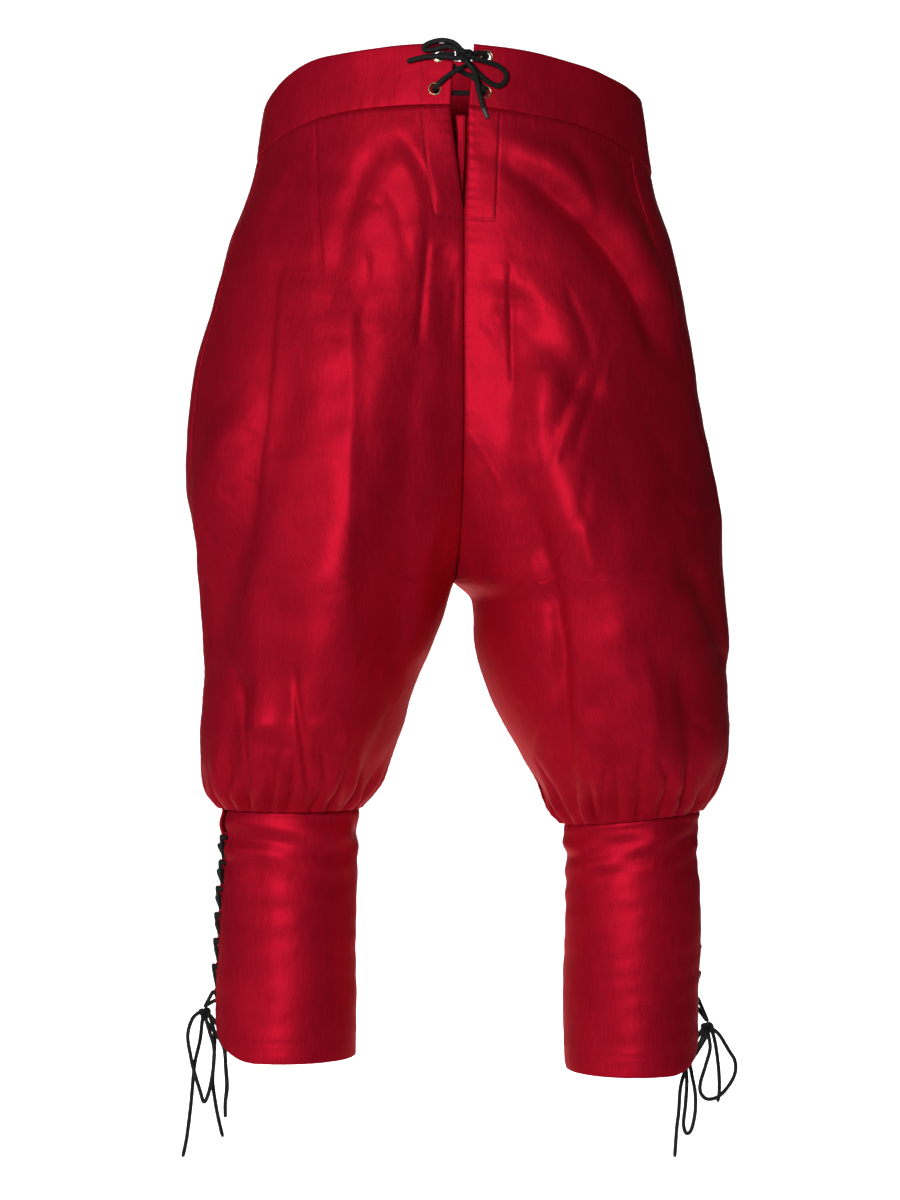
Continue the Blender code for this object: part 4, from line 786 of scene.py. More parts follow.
# The cuff laces' bows, each point as x (outward), y (back) and z from the knot, in millimetres.
CUFF_KNOT_SIZE = (0.0050, 0.0048, 0.0054)
LACE_AT_KNOT = (0.0030, 0.0058)   # how far the lace's ends lie apart (half) and above the knot
LACE_CLEAR = 0.0003               # between the lace and the loops that it runs through
LACE_FLAT = 0.8                   # how round its turn is through a loop: 1 is a full half circle
TOP_BAR_RISE = 0.004              # how far the lace's top bar stands above the top loops
CUFF_KNOT_PLACE = {"right": (0.0040, 0.0100), "left": (0.0017, 0.0120)}   # above the corners, out
BOWS = {
    "right": {
        "bow_right_1": (
            (5.4, -2.4, 0.8), (10.9, -3.8, -4.9), (14.3, -4.8, -18.3), (11.7, -5.2, -36.2),
            (9.2, -5.4, -47.2), (4.1, -5.4, -64.2), (0.3, -5.6, -74.4), (-4.4, -5.8, -62.6),
            (-7.8, -5.8, -41.4), (-7.8, -5.6, -27.8), (-5.2, -4.8, -18.4), (-1.8, -4.0, -6.6),
        ),
        "bow_right_2": (
            (-1.6, 5.8, -0.2), (-6.8, 12.6, -6.0), (-12.7, 18.8, -16.0), (-16.6, 21.6, -27.6),
            (-17.8, 22.0, -51.0), (-18.6, 22.0, -65.4), (-17.4, 23.6, -80.0), (-17.4, 29.0, -92.0),
            (-17.4, 34.2, -82.0), (-19.0, 34.4, -67.4), (-17.8, 32.6, -49.8), (-16.1, 27.8, -33.6),
            (-10.1, 18.6, -20.8), (-4.2, 10.0, -12.2), (-1.4, 4.8, -6.6),
        ),
        "tail_right_1": (
            (2.0, 1.0, -5.6), (4.0, 1.7, -22.8), (8.4, 1.8, -42.3), (10.1, 1.6, -58.5),
            (11.8, 1.4, -78.0), (15.2, 1.2, -105.2), (18.6, 1.0, -122.0),
        ),
        "tail_right_2": (
            (-4.8, 0.8, -3.6), (-8.5, 1.8, -19.5), (-7.7, 2.0, -39.1), (-6.8, 2.0, -58.7),
            (-9.4, 2.0, -78.4), (-11.9, 2.0, -91.2), (-15.3, 2.0, -105.7),
        ),
    },
    "left": {
        "bow_left_1": (
            (5.2, -2.8, -1.2), (10.6, -4.6, -6.5), (17.2, -5.4, -17.6), (23.2, -5.8, -28.0),
            (23.0, -6.0, -39.1), (16.9, -6.0, -50.2), (8.6, -5.8, -58.4), (-0.8, -5.8, -60.4),
            (-6.4, -6.0, -55.1), (-6.8, -6.0, -46.4), (-2.2, -6.0, -31.1), (1.6, -5.4, -17.6),
            (0.6, -4.6, -6.8),
        ),
        "bow_left_2": (
            (-1.6, 5.9, -0.1), (-3.6, 13.0, -5.0), (-7.4, 20.6, -15.0), (-11.4, 25.0, -29.6),
            (-9.6, 25.6, -43.8), (-6.6, 25.8, -59.6), (-6.4, 26.8, -76.9), (-9.4, 29.0, -92.4),
            (-13.2, 33.2, -96.4), (-15.2, 36.2, -88.7), (-13.4, 36.6, -71.5), (-12.4, 35.6, -52.2),
            (-13.4, 31.6, -36.4), (-8.6, 22.6, -24.2), (-4.6, 13.0, -15.0), (-2.6, 5.0, -6.6),
        ),
        "tail_left_1": (
            (4.6, 0.6, -4.0), (7.6, 1.0, -15.9), (10.2, 1.2, -36.6), (10.7, 1.2, -53.9),
            (9.4, 1.2, -64.2),
        ),
        "tail_left_2": (
            (1.6, 6.2, -2.0), (3.2, 15.6, -6.4), (0.6, 26.6, -16.0), (-4.6, 36.0, -28.0),
            (-12.0, 41.4, -41.0), (-16.9, 42.4, -57.5), (-18.6, 42.4, -79.4), (-20.4, 41.8, -93.3),
            (-22.3, 41.0, -118.5),
        ),
    },
}


def lace_route(side):
    """The run of a cuff's lace: up one way and down the other, crossing in the opening between each
    pair of loops. At a loop it comes over the tip, down through the hole and back under."""
    wrap = LOOP_HALF + LACE_CLEAR
    bend = LOOP_LONG - LOOP_THICK / 2 - LOOP_HALF
    climb = [("front" if k % 2 == 0 else "back", k) for k in reversed(range(LOOPS))]
    fall = [("back" if k % 2 == 0 else "front", k) for k in range(LOOPS)]
    turn = np.radians((98, 150, 210, 262))
    slope = np.array((0.0012, 0.0003, -0.0003, -0.0012))
    strands = []
    for order, angles in ((climb, turn), (fall, turn[::-1])):
        strand = []
        for edge, k in order:
            base, _, tilted, down, above = loop_axes(side, edge, k)
            tip = base + tilted * (bend + LOOP_HALF)
            for angle, shift in zip(angles, slope if order is climb else -slope):
                place = tip + tilted * wrap * math.cos(angle) + above * LACE_FLAT * wrap * math.sin(angle)
                strand.append(place + down * shift)
        strands.append(strand)
    return strands


def cuff_knot_place(side):
    """Where a cuff's knot hangs, outside the foot of the opening."""
    drop, out = CUFF_KNOT_PLACE[side]
    z = np.array(CUFF_HEM[side] + HEM_CORNER_RISE + drop)
    angle = (opening_angle(side, "front", 1.0) + opening_angle(side, "back", 1.0)) / 2
    return cuff_point(side, np.array(angle), z, out)


def on_front(points):
    """Where points show on the front view's squared paper: their place across and up, divided by
    their distance from the camera."""
    x, y, z = points[..., 0], points[..., 1], points[..., 2]
    across = math.cos(TURN) * x - math.sin(TURN) * y - AIM_X
    away = math.sin(TURN) * x + math.cos(TURN) * y
    scale = DISTANCE / (DISTANCE + away) / SQUARE
    return np.stack([PAPER_WIDE + across * scale, PAPER_HIGH - (z - AIM_Z) * scale], axis=-1)


def on_back(points):
    """Where points show on the back's squared paper: across to the right and down from the waist."""
    return np.stack([-points[..., 0], -points[..., 2]], axis=-1) / SQUARE


def crease_height(places, creases, depth=CREASE_DEPTH):
    """Height of drawn creases at places on squared paper. Each is a smooth curve; across it the height
    is a bell, exp(-(d/w)^2) with its own width on each side, and it fades out at both ends."""
    flat = places.reshape(-1, 2)
    total = np.zeros(len(flat))
    for height, left, right, *points in creases:
        line = smooth_route([(x, y, 0.0) for x, y in points], CREASE_STEP)[:, :2]
        ahead = np.gradient(line, axis=0)
        ahead /= np.linalg.norm(ahead, axis=1)[:, None]
        reach = 3 * max(left, right)
        near = np.all((flat > line.min(0) - reach) & (flat < line.max(0) + reach), axis=1)
        if not near.any():
            continue
        spot = flat[near]
        gap = ((spot[:, None, :] - line[None, :, :]) ** 2).sum(-1)
        k = gap.argmin(1)
        off = spot - line[k]
        aside = ahead[k, 0] * off[:, 1] - ahead[k, 1] * off[:, 0]
        beyond = np.abs(ahead[k, 0] * off[:, 0] + ahead[k, 1] * off[:, 1])
        width = np.where(aside > 0, left, right)
        share = k / (len(line) - 1)
        fade = smooth_step(share / CREASE_FADE) * smooth_step((1 - share) / CREASE_FADE)
        ends = np.maximum(beyond - CREASE_STEP, 0.0)
        total[near] += depth * height / 1000 * np.exp(-(aside ** 2 + ends ** 2) / width ** 2) * fade
    return total.reshape(places.shape[:-1])


def ripple(u, v, seed, least, most, height):
    """Slight unevenness of cloth: a sum of sine waves in all directions, longer ones higher."""
    draw = np.random.default_rng(seed)
    total = np.zeros_like(u)
    for _ in range(12):
        turn = draw.uniform(0, math.pi)
        length = draw.uniform(least, most)
        shift = draw.uniform(0, 2 * math.pi)
        wave = np.sin(2 * math.pi * (u * math.cos(turn) + v * math.sin(turn)) / length + shift)
        total += height * length / most * wave
    return total


def pucker(along_seam, edge, spacing, reach, drift, pace, phase=0):
    """The small ripples beside a seam: a sine along it, whose own phase drifts as a slower sine,
    fading with the distance from the edge."""
    shift = drift * np.sin(along_seam * pace + phase)
    return PUCKER * np.sin(2 * math.pi * along_seam / spacing + shift) * np.exp(-edge / reach)


def lengths(grid):
    """Distance along the cloth of each point of a grid from its first column and its first row."""
    across = np.linalg.norm(np.diff(grid, axis=1), axis=2)
    down = np.linalg.norm(np.diff(grid, axis=0), axis=2)
    u = np.concatenate([np.zeros((grid.shape[0], 1)), np.cumsum(across, axis=1)], axis=1)
    v = np.concatenate([np.zeros((1, grid.shape[1])), np.cumsum(down, axis=0)], axis=0)
    return u, v


def grid_normals(grid, away):
    """Unit normals of a grid of points by differences, turned to agree with the directions away."""
    normal = np.cross(np.gradient(grid, axis=1), np.gradient(grid, axis=0))
    normal /= np.linalg.norm(normal, axis=-1, keepdims=True) + 1e-12
    return normal * np.sign(np.sum(normal * away, axis=-1, keepdims=True) + 1e-9)


def edge_distance(u, v):
    """Distance of each point of a piece from the nearest of its four edges."""
    return np.minimum(np.minimum(u, u[:, -1:] - u), np.minimum(v, v[-1:] - v))


def add_mesh(name, points, faces, uv, finish):
    """A smooth-shaded mesh object from points, faces as rows of point numbers, and a place for each
    point on the cut cloth, in metres."""
    mesh = bpy.data.meshes.new(name)
    mesh.from_pydata(np.asarray(points, dtype=float).tolist(), [], faces)
    layer = mesh.uv_layers.new(name="cut")
    corners = np.empty(len(mesh.loops), dtype=np.int32)
    mesh.loops.foreach_get("vertex_index", corners)
    layer.data.foreach_set("uv", np.asarray(uv, dtype=np.float32)[corners].ravel())
    mesh.shade_smooth()
    mesh.materials.append(finish)
    mesh.validate()
    obj = bpy.data.objects.new(name, mesh)
    bpy.context.scene.collection.objects.link(obj)
    return obj


def cloth_wall(name, grid, away, thick, finish, inside_step=INSIDE_STEP):
    """A cloth wall from its outer face's grid of points. Its edges are rounded: a point at distance d
    from the edge sinks by r - sqrt(r^2 - (r - d)^2), with r half the wall. Edges sewn at the centre
    are drawn up to the centre plane. The inner face is a coarser grid of the same points moved in by
    the wall, and shares the outer face's edge."""
    u, v = lengths(grid)
    normal = grid_normals(grid, away)
    radius = thick / 2
    past = np.maximum(radius - edge_distance(u, v), 0)
    depth = radius - np.sqrt(np.maximum(radius ** 2 - past ** 2, 0))
    outer = grid - normal * depth[..., None]
    sewn = np.abs(grid[..., 0]) < SEWN_WITHIN
    outer[..., 0] = np.where(sewn, np.sign(grid[..., 0]) * SEAM_CLOSED, outer[..., 0])
    rows, columns = grid.shape[:2]
    number = np.arange(rows * columns).reshape(rows, columns)
    quads = np.stack([number[:-1, :-1], number[1:, :-1], number[1:, 1:], number[:-1, 1:]], axis=-1)
    sense = np.cross(grid[1, 0] - grid[0, 0], grid[0, 1] - grid[0, 0]).dot(away[0, 0])
    quads = quads.reshape(-1, 4)
    faces = (quads if sense > 0 else quads[:, ::-1]).tolist()
    down = list(range(0, rows - 1, inside_step)) + [rows - 1]
    over = list(range(0, columns - 1, inside_step)) + [columns - 1]
    inner_points = (grid - normal * thick)[np.ix_(down, over)]
    inner_number = np.arange(len(down) * len(over)).reshape(len(down), len(over)) + rows * columns
    inner_number[0, :] = number[0, over]
    inner_number[-1, :] = number[-1, over]
    inner_number[:, 0] = number[down, 0]
    inner_number[:, -1] = number[down, -1]
    inner = []
    last_row = len(down) - 2
    last_column = len(over) - 2
    for i in range(len(down) - 1):
        for j in range(len(over) - 1):
            a, b = inner_number[i, j], inner_number[i, j + 1]
            d, c = inner_number[i + 1, j], inner_number[i + 1, j + 1]
            top = list(number[0, over[j] + 1:over[j + 1]]) if i == 0 else []
            right = list(number[down[i] + 1:down[i + 1], -1]) if j == last_column else []
            low = list(number[-1, over[j] + 1:over[j + 1]])[::-1] if i == last_row else []
            left = list(number[down[i] + 1:down[i + 1], 0])[::-1] if j == 0 else []
            ring = [a] + top + [b] + right + [c] + low + [d] + left
            inner.append([int(n) for n in (ring if sense > 0 else ring[::-1])])
    points = np.concatenate([outer.reshape(-1, 3), inner_points.reshape(-1, 3)])
    place = np.stack([u - u[:, -1:] / 2, -v], axis=-1)
    uv = np.concatenate([place.reshape(-1, 2), place[np.ix_(down, over)].reshape(-1, 2)])
    return add_mesh(name, points, faces + inner, uv, finish), outer, normal


def facing_height(places):
    """Height of the doubled cloth round the slit: raised inside the square of stitching, with a
    narrow groove along the stitches themselves."""
    outline = np.array(FACING_STITCH, dtype=float)
    line = np.concatenate([np.linspace(a, b, 60, endpoint=False)
                           for a, b in zip(outline[:-1], outline[1:])])
    flat = places.reshape(-1, 2)
    near = np.all((flat > outline.min(0) - FACING_MARGIN) & (flat < outline.max(0) + FACING_MARGIN), axis=1)
    total = np.zeros(len(flat))
    spot = flat[near]
    if not near.any():
        return total.reshape(places.shape[:-1])
    gap = np.sqrt(((spot[:, None] - line[None]) ** 2).sum(-1).min(1)) * SQUARE
    left = np.interp(spot[:, 1], outline[:4, 1], outline[:4, 0])
    right = np.interp(spot[:, 1], outline[:4:-1, 1], outline[:4:-1, 0])
    low = np.interp(spot[:, 0], outline[3:6, 0], outline[3:6, 1])
    inside = (spot[:, 0] > left) & (spot[:, 0] < right) & (spot[:, 1] < low)
    raised = np.where(inside, smooth_step(gap / FACING_BEVEL), 0.0)
    total[near] = FACING_RISE * raised - STITCH_SINK * np.exp(-(gap / STITCH_SINK_WIDE) ** 2)
    return total.reshape(places.shape[:-1])


def leg_grid(side, panel, share, down):
    """Outer face of a leg panel: the section's ellipse at each height, moved out level by the large
    folds, the gathers, the drawn creases where they face the view that they are drawn on, the ripples
    of the cloth and the sink at each seam."""
    z = np.full(np.broadcast(share, down).shape, -0.1)
    for _ in range(6):
        angle = inner_angle(side, panel, z)
        angle = angle + (side_angle(side, panel, z) - angle) * share
        centre, half, front, back, middle = section(side, z)
        depth = np.where(angle < 0, front, back)
        x = SIGN[side] * (centre + half * np.cos(angle))
        y = middle + depth * np.sin(angle)
        top = band_edge("bottom", waist_angle(x, y, z)) + BAND_TUCK
        bottom = cuff_top(side, angle) + SEAM
        upper = top + (CROTCH_Z - top) * np.minimum(down, 1.0)
        z = upper + (bottom - CROTCH_Z) * np.maximum(down - 1.0, 0.0)
    base = np.stack([x, y, z], axis=-1)
    out = np.stack([SIGN[side] * np.cos(angle) / half, np.sin(angle) / depth, 0 * z], axis=-1)
    out /= np.linalg.norm(out, axis=-1, keepdims=True)
    u, v = lengths(base)
    quiet = smooth_step((top - z) / QUIET_TOP) * smooth_step((z - bottom) / QUIET_CUFF)
    folds = fold_height(FOLDS[side], side, angle, z, FOLD_RUN) * smooth_step(np.abs(x) / QUIET_CENTRE)
    height = (folds + fold_height(SIDE_FOLDS[side], side, angle, z, SIDE_FOLD_RUN)) * quiet
    height += gather_height(side, panel, share, z - bottom)
    soft = smooth_step((top - z) / CREASE_TOP) * smooth_step((z - bottom + CREASE_PAST) / CREASE_CUFF)
    facing = smooth_step((-out[..., 1] + FRONT_TURN[0]) / FRONT_TURN[1])
    paper = on_front(base)
    height += (crease_height(paper, CREASES) + crease_height(paper, BROAD, 1.0)) * facing * soft
    behind = smooth_step((out[..., 1] + BACK_TURN[0]) / BACK_TURN[1])
    height += crease_height(on_back(base), BACK_CREASES) * behind * soft
    height += ripple(x + 0.3 * y, z, *LEG_RIPPLE) * quiet
    phase = 31 if panel == "front" else 47
    edge = edge_distance(u, v)
    along_edge = np.where(np.minimum(u, u[:, -1:] - u) < np.minimum(v, v[-1:] - v), v, u)
    height += pucker(along_edge, edge, *LEG_PUCKER, phase)
    height -= SEAM_SINK * np.exp(-(edge / SEAM_SINK_WIDE) ** 2)
    height -= BAND_SINK * np.exp(-((top - z) / TUCK_WIDE) ** 2)
    if panel == "front":
        height += facing_height(paper)
    level = out.copy()
    level[..., 0] *= smooth_step(np.abs(x) / QUIET_CENTRE)
    level /= np.linalg.norm(level, axis=-1, keepdims=True)
    return base + level * height[..., None], out


def spaced(stops, counts):
    """Rising values from stop to stop, each stretch cut into its own count of even steps."""
    runs = [np.linspace(a, b, n, endpoint=False) for a, b, n in zip(stops[:-1], stops[1:], counts)]
    return np.concatenate(runs + [[stops[-1]]])


def leg_cloth(side, panel, finish):
    """One leg panel as sewn."""
    share = spaced(*LEG_ACROSS[panel])[None, :]
    down = spaced(*LEG_DOWN[panel])[:, None]
    grid, away = leg_grid(side, panel, share, down)
    name = panel + "_" + side
    obj, outer, normal = cloth_wall("cloth_" + name, grid, away, SINGLE, finish)
    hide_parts(name)
    return obj, outer, normal


def band_cloth(side, finish):
    """One half of the waistband: between its two edges round the waist the face is straight, with a
    slight swell and a few ripples; beside the slit it is flat, and holds the eyelets' holes."""
    facet = math.asin(FACET / WAIST_HALF)
    flat_steps = np.linspace(0.0, 1.0, BAND_FACET_STEPS)
    bend_steps = np.linspace(facet, math.pi - SEAM / 2 / WAIST_HALF, BAND_ROUND_STEPS)[1:]
    edges = {}
    for edge in ("top", "bottom"):
        start_z = float(band_edge(edge, 0.0))
        start = math.asin(float(along(SLIT, side, np.array(start_z))) / WAIST_HALF)
        ends = SIGN[side] * np.array([start, facet])
        near, far = waist_point(ends, band_edge(edge, np.degrees(ends)), BAND_PROUD)
        angle = SIGN[side] * bend_steps
        bend = waist_point(angle, band_edge(edge, np.degrees(angle)), BAND_PROUD)
        edges[edge] = np.concatenate([near + (far - near) * flat_steps[:, None], bend])
    share = spaced(*BAND_DOWN)[:, None]
    grid = edges["top"][None] + (edges["bottom"] - edges["top"])[None] * share[..., None]
    away = np.stack([grid[..., 0], grid[..., 1], 0 * grid[..., 0]], axis=-1)
    away /= np.linalg.norm(away, axis=-1, keepdims=True)
    u, v = lengths(grid)
    past_facet = smooth_step((u - BAND_FLAT) / BAND_FLAT_END)
    swell = BAND_SWELL * (1 - np.abs(2 * share - 1) ** 6)
    waves = ripple(u, v * 0.6, *BAND_RIPPLE[side]) * past_facet
    seam_ripple = pucker(u, v[-1:] - v, *BAND_PUCKER)
    grid = grid + away * (swell + (waves + seam_ripple * past_facet))[..., None]
    obj, outer, normal = cloth_wall("cloth_waistband_" + side, grid, away, DOUBLE, finish, 1)
    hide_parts("waistband_" + side)
    holes = [eyelet_frame(k) for k in range(4) if EYELETS["sign"][k] == SIGN[side]]
    pierce(obj, holes)
    return obj, outer, normal


def pierce(obj, holes):
    """Opens a round hole through both faces of a wall at each eyelet: faces inside the circle go, and
    the points round them move onto the circle."""
    mesh = obj.data
    points = np.empty(len(mesh.vertices) * 3)
    mesh.vertices.foreach_get("co", points)
    points = points.reshape(-1, 3)
    layer = np.empty(len(mesh.loops) * 2, dtype=np.float32)
    mesh.uv_layers[0].data.foreach_get("uv", layer)
    corner = np.empty(len(mesh.loops), dtype=np.int32)
    mesh.loops.foreach_get("vertex_index", corner)
    uv = np.zeros((len(points), 2), dtype=np.float32)
    uv[corner] = layer.reshape(-1, 2)
    faces = [list(p.vertices) for p in mesh.polygons]
    middle = np.array([points[f].mean(0) for f in faces])
    kept = np.ones(len(faces), dtype=bool)
    for centre, right, up, out in holes:
        offset = middle - centre
        inside = np.hypot(offset @ right, offset @ up) < EYELET_HOLE
        inside &= np.abs(offset @ out) < 0.01
        kept &= ~inside
        cut = np.unique(np.concatenate([faces[k] for k in np.nonzero(inside)[0]]))
        rest = np.unique(np.concatenate([faces[k] for k in np.nonzero(~inside)[0]]))
        rim = np.intersect1d(cut, rest)
        off = points[rim] - centre
        a, b, c = off @ right, off @ up, off @ out
        size = EYELET_HOLE / np.hypot(a, b)
        points[rim] = centre + np.outer(a * size, right) + np.outer(b * size, up) + np.outer(c, out)
    finish = mesh.materials[0]
    used = [f for f, k in zip(faces, kept) if k]
    fresh = add_mesh("spare", points, used, uv, finish)
    obj.data = fresh.data
    bpy.data.objects.remove(fresh)
    obj.data.name = obj.name
    loose = np.ones(len(points), dtype=bool)
    loose[np.unique(np.concatenate(used))] = False
    if loose.any():
        drop_loose(obj.data)


def drop_loose(mesh):
    """Removes the points that no face uses."""
    work = bmesh.new()
    work.from_mesh(mesh)
    bmesh.ops.delete(work, geom=[v for v in work.verts if not v.link_faces], context="VERTS")
    work.to_mesh(mesh)
    work.free()


def cuff_cloth(side, finish):
    """A calf cuff: the calf's ellipse from the opening's front edge round to its back edge, drawn in
    where it is laced, with soft level wrinkles under its top and a turned hem."""
    share = spaced(*CUFF_ACROSS)[None, :]
    drop = spaced(*CUFF_DOWN)[:, None]
    start = opening_angle(side, "front", drop)
    end = opening_angle(side, "back", drop)
    around = 2 * math.pi - (end - start)
    angle = start - around * share
    top = cuff_top(side, angle) + CUFF_TUCK
    length = around * CALF_RADIUS
    rounded = hem_rise(length * share) + hem_rise(length * (1 - share))
    z = top + (CUFF_HEM[side] + rounded - top) * drop
    base = cuff_point(side, angle, z)
    away = cuff_point(side, angle, z, 1.0) - base
    u, v = lengths(base)
    hem = v[-1:] - v
    side_edge = np.minimum(u, u[:, -1:] - u)
    near_top = np.exp(-((v - WRINKLE_DOWN) / WRINKLE_WIDE) ** 2)
    level = ripple(u * 0.30, v, *CUFF_WRINKLE[side])
    wide = ripple(u * 0.8, v * 0.5, *CUFF_RIPPLE[side])
    height = level * near_top * WRINKLE_TOP + level * WRINKLE_REST + wide
    height *= smooth_step(np.minimum(v, hem) / CUFF_CALM)
    height -= HEM_SINK * np.exp(-((hem - HEM_STITCH) / STITCH_LINE_WIDE) ** 2)
    height -= SIDE_SINK * np.exp(-((side_edge - SIDE_STITCH) / STITCH_LINE_WIDE) ** 2)
    height -= CUFF_SINK * np.exp(-(v / TUCK_WIDE) ** 2)
    grid = base + away * height[..., None]
    obj, outer, normal = cloth_wall("cloth_cuff_" + side, grid, away, DOUBLE, finish, 2)
    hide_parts("cuff_" + side)
    return obj, outer, normal


def underlap_cloth(finish):
    """The flat piece behind the slit, just inside the front panels. It sags back near its top, and
    bends back behind the slit's two edges."""
    x, z = np.meshgrid(spaced(*UNDERLAP_ACROSS), np.linspace(*UNDERLAP_DOWN))
    centre, half, front, _, middle = section("left", z)
    angle = np.arccos(np.clip((np.abs(x) - centre) / half, -1.0, 1.0))
    sag = UNDERLAP_SAG * np.exp(-((x + 0.006) / 0.008) ** 2) * smooth_step((z + 0.08) / 0.06)
    right_edge = along(SLIT, "left", z) - 0.0022
    left_edge = -along(SLIT, "right", z) + 0.0012 + 0.0036 * smooth_step((z + 0.045) / 0.03)
    open_part = smooth_step((z + 0.084) / 0.012)
    back = 0.0040 * smooth_step((z + 0.088) / 0.08)
    for past_edge in (x - right_edge, left_edge - x):
        back = back + UNDERLAP_BACK * smooth_step(past_edge / UNDERLAP_BEND) * open_part
    y = middle - front * np.sin(angle) + SINGLE + UNDERLAP_BEHIND + sag + back
    grid = np.stack([x, y, z], axis=-1)
    away = np.zeros_like(grid)
    away[..., 1] = -1.0
    obj, outer, _ = cloth_wall("cloth_underlap", grid, away, UNDERLAP, finish, 2)
    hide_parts("slit_underlap")
    return obj, outer


def ring_faces(rings, count, closed):
    """Faces between successive rings of points; closed joins the last ring to the first."""
    ring = np.arange(count)
    following = (ring + 1) % count
    faces = []
    for k in range(rings if closed else rings - 1):
        a = k * count
        b = ((k + 1) % rings) * count
        faces += np.stack([a + ring, a + following, b + following, b + ring], axis=1).tolist()
    return faces


def carried_frames(path, closed=False):
    """Forward, side and third directions along a path. The side direction is carried from point to
    point with as little turning as possible."""
    if closed:
        ahead = np.roll(path, -1, axis=0) - np.roll(path, 1, axis=0)
    else:
        ahead = np.gradient(path, axis=0)
    ahead /= np.linalg.norm(ahead, axis=1)[:, None]
    side_way = np.empty_like(ahead)
    guess = np.array([0.0, 0.0, 1.0]) if abs(ahead[0, 2]) < 0.8 else np.array([1.0, 0.0, 0.0])
    current = np.cross(ahead[0], guess)
    for k, forward in enumerate(ahead):
        current = current - forward * current.dot(forward)
        current /= np.linalg.norm(current)
        side_way[k] = current
    return ahead, side_way, np.cross(side_way, ahead)


def braided(name, route, diameter, finish, tip=0.0, closed=False):
    """A round braided cord along a route: rings whose radius swells where strands cross, as
    cos(n a) + cos(k s), with rounded ends. A sealed tip is a little thinner over its length."""
    route = smooth_route(route, CORD_RING) if not closed else np.asarray(route)
    _, side_way, third = carried_frames(route, closed)
    radius = diameter / 2
    turn = np.linspace(0.0, 2 * math.pi, CORD_SIDES, endpoint=False)
    length = np.concatenate([[0.0], np.cumsum(np.linalg.norm(np.diff(route, axis=0), axis=1))])
    pitch = diameter * BRAID_PITCH
    relief = 0.5 * (np.cos(4 * turn)[None, :] + np.cos(2 * math.pi * length / pitch)[:, None]) \
        * np.cos(2 * (turn[None, :] - 2 * math.pi * length[:, None] / pitch / 8))
    size = np.full(len(route), radius)
    braid = np.full(len(route), BRAID)
    if not closed:
        end = np.minimum(length, length[-1] - length)
        rounded = np.sqrt(np.clip(1 - (1 - np.minimum(end / (radius * 0.5), 1.0)) ** 2, 0.0, 1.0))
        size = radius * (0.55 + 0.45 * rounded)
        if tip:
            sealed = smooth_step((tip - (length[-1] - length)) / TIP_END)
            size = size * (1 - TIP_THIN * sealed)
            braid = braid * (1 - TIP_SMOOTH * sealed)
    reach = size[:, None] * (1 + braid[:, None] * relief)
    ring = np.cos(turn)[None, :, None] * side_way[:, None] + np.sin(turn)[None, :, None] * third[:, None]
    points = (route[:, None] + reach[..., None] * ring).reshape(-1, 3)
    around = np.broadcast_to(turn / (2 * math.pi), reach.shape)
    down = np.broadcast_to(length[:, None] / (math.pi * diameter), reach.shape)
    uv = np.stack([around, down], axis=-1).reshape(-1, 2)
    faces = ring_faces(len(route), CORD_SIDES, closed)
    if not closed:
        first, last = len(points), len(points) + 1
        points = np.concatenate([points, route[:1], route[-1:]])
        uv = np.concatenate([uv, [[0.5, 0.0], [0.5, length[-1] / (math.pi * diameter)]]])
        n = CORD_SIDES
        low = (len(route) - 1) * n
        faces += [[first, (i + 1) % n, i] for i in range(n)]
        faces += [[last, low + i, low + (i + 1) % n] for i in range(n)]
    obj = add_mesh(name, points, turned_out(points, faces), uv, finish)
    return obj, route, float(length[-1])


def turned_out(points, faces):
    """The faces with all their corners reversed if the solid that they close is inside out: the sum of
    a . (b x c) over its triangles is then below 0."""
    corners = np.array([(face[0], b, c) for face in faces for b, c in zip(face[1:-1], face[2:])])
    a, b, c = (np.asarray(points)[corners[:, k]] for k in range(3))
    volume = (a * np.cross(b, c)).sum()
    return faces if volume > 0 else [face[::-1] for face in faces]


def tube_faces(rings, count):
    """Faces of a tube between successive rings of points, with a flat end at either side."""
    low = (rings - 1) * count
    return ring_faces(rings, count, False) + [list(reversed(range(count))), list(range(low, low + count))]


def tied(name, centre, size, diameter, finish):
    """A tied knot: the cord along a trefoil, (sin t + 2 sin 2t, sin 3t, cos t - 2 cos 2t), drawn
    tight inside the knot's size."""
    t = np.linspace(0.0, 2 * math.pi, 120, endpoint=False)
    x = (np.sin(t) + 2 * np.sin(2 * t)) / 3
    z = (np.cos(t) - 2 * np.cos(2 * t)) / 3
    room = np.array(size) - diameter / 2
    route = centre + np.stack([x, -np.sin(3 * t), z], axis=-1) * room * np.array(KNOT_SPREAD)
    return braided(name, route, diameter, finish, closed=True)[0]


def eyelet(k, name, finish):
    """A rolled brass eyelet: its section, a barrel with a round flange on each face, turned about the
    hole's axis."""
    centre, right, up, out = eyelet_frame(k)
    low = -DOUBLE - EYELET_LIFT
    bend = np.linspace(math.pi, 0.0, 9)
    roll = [(EYELET_RIM + EYELET_ROLL * math.cos(a), EYELET_LIFT + EYELET_FRONT * math.sin(a)) for a in bend]
    back = [(EYELET_RIM - EYELET_ROLL * math.cos(a), low - EYELET_BACK * math.sin(a)) for a in bend]
    profile = roll + [(EYELET_BARREL, EYELET_LIFT), (EYELET_BARREL, low)] + back
    turn = np.linspace(0.0, 2 * math.pi, EYELET_SIDES, endpoint=False)
    around = np.cos(turn)[:, None] * right + np.sin(turn)[:, None] * up
    points = np.concatenate([centre + radius * around + height * out for radius, height in profile])
    over = np.repeat(np.arange(len(profile)) / 10.0, EYELET_SIDES)
    uv = np.stack([np.tile(turn / (2 * math.pi), len(profile)), over], axis=-1)
    faces = turned_out(points, ring_faces(len(profile), EYELET_SIDES, True))
    obj = add_mesh("rolled_eyelet_" + name, points, faces, uv, finish)
    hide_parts("eyelet_" + name)
    return obj


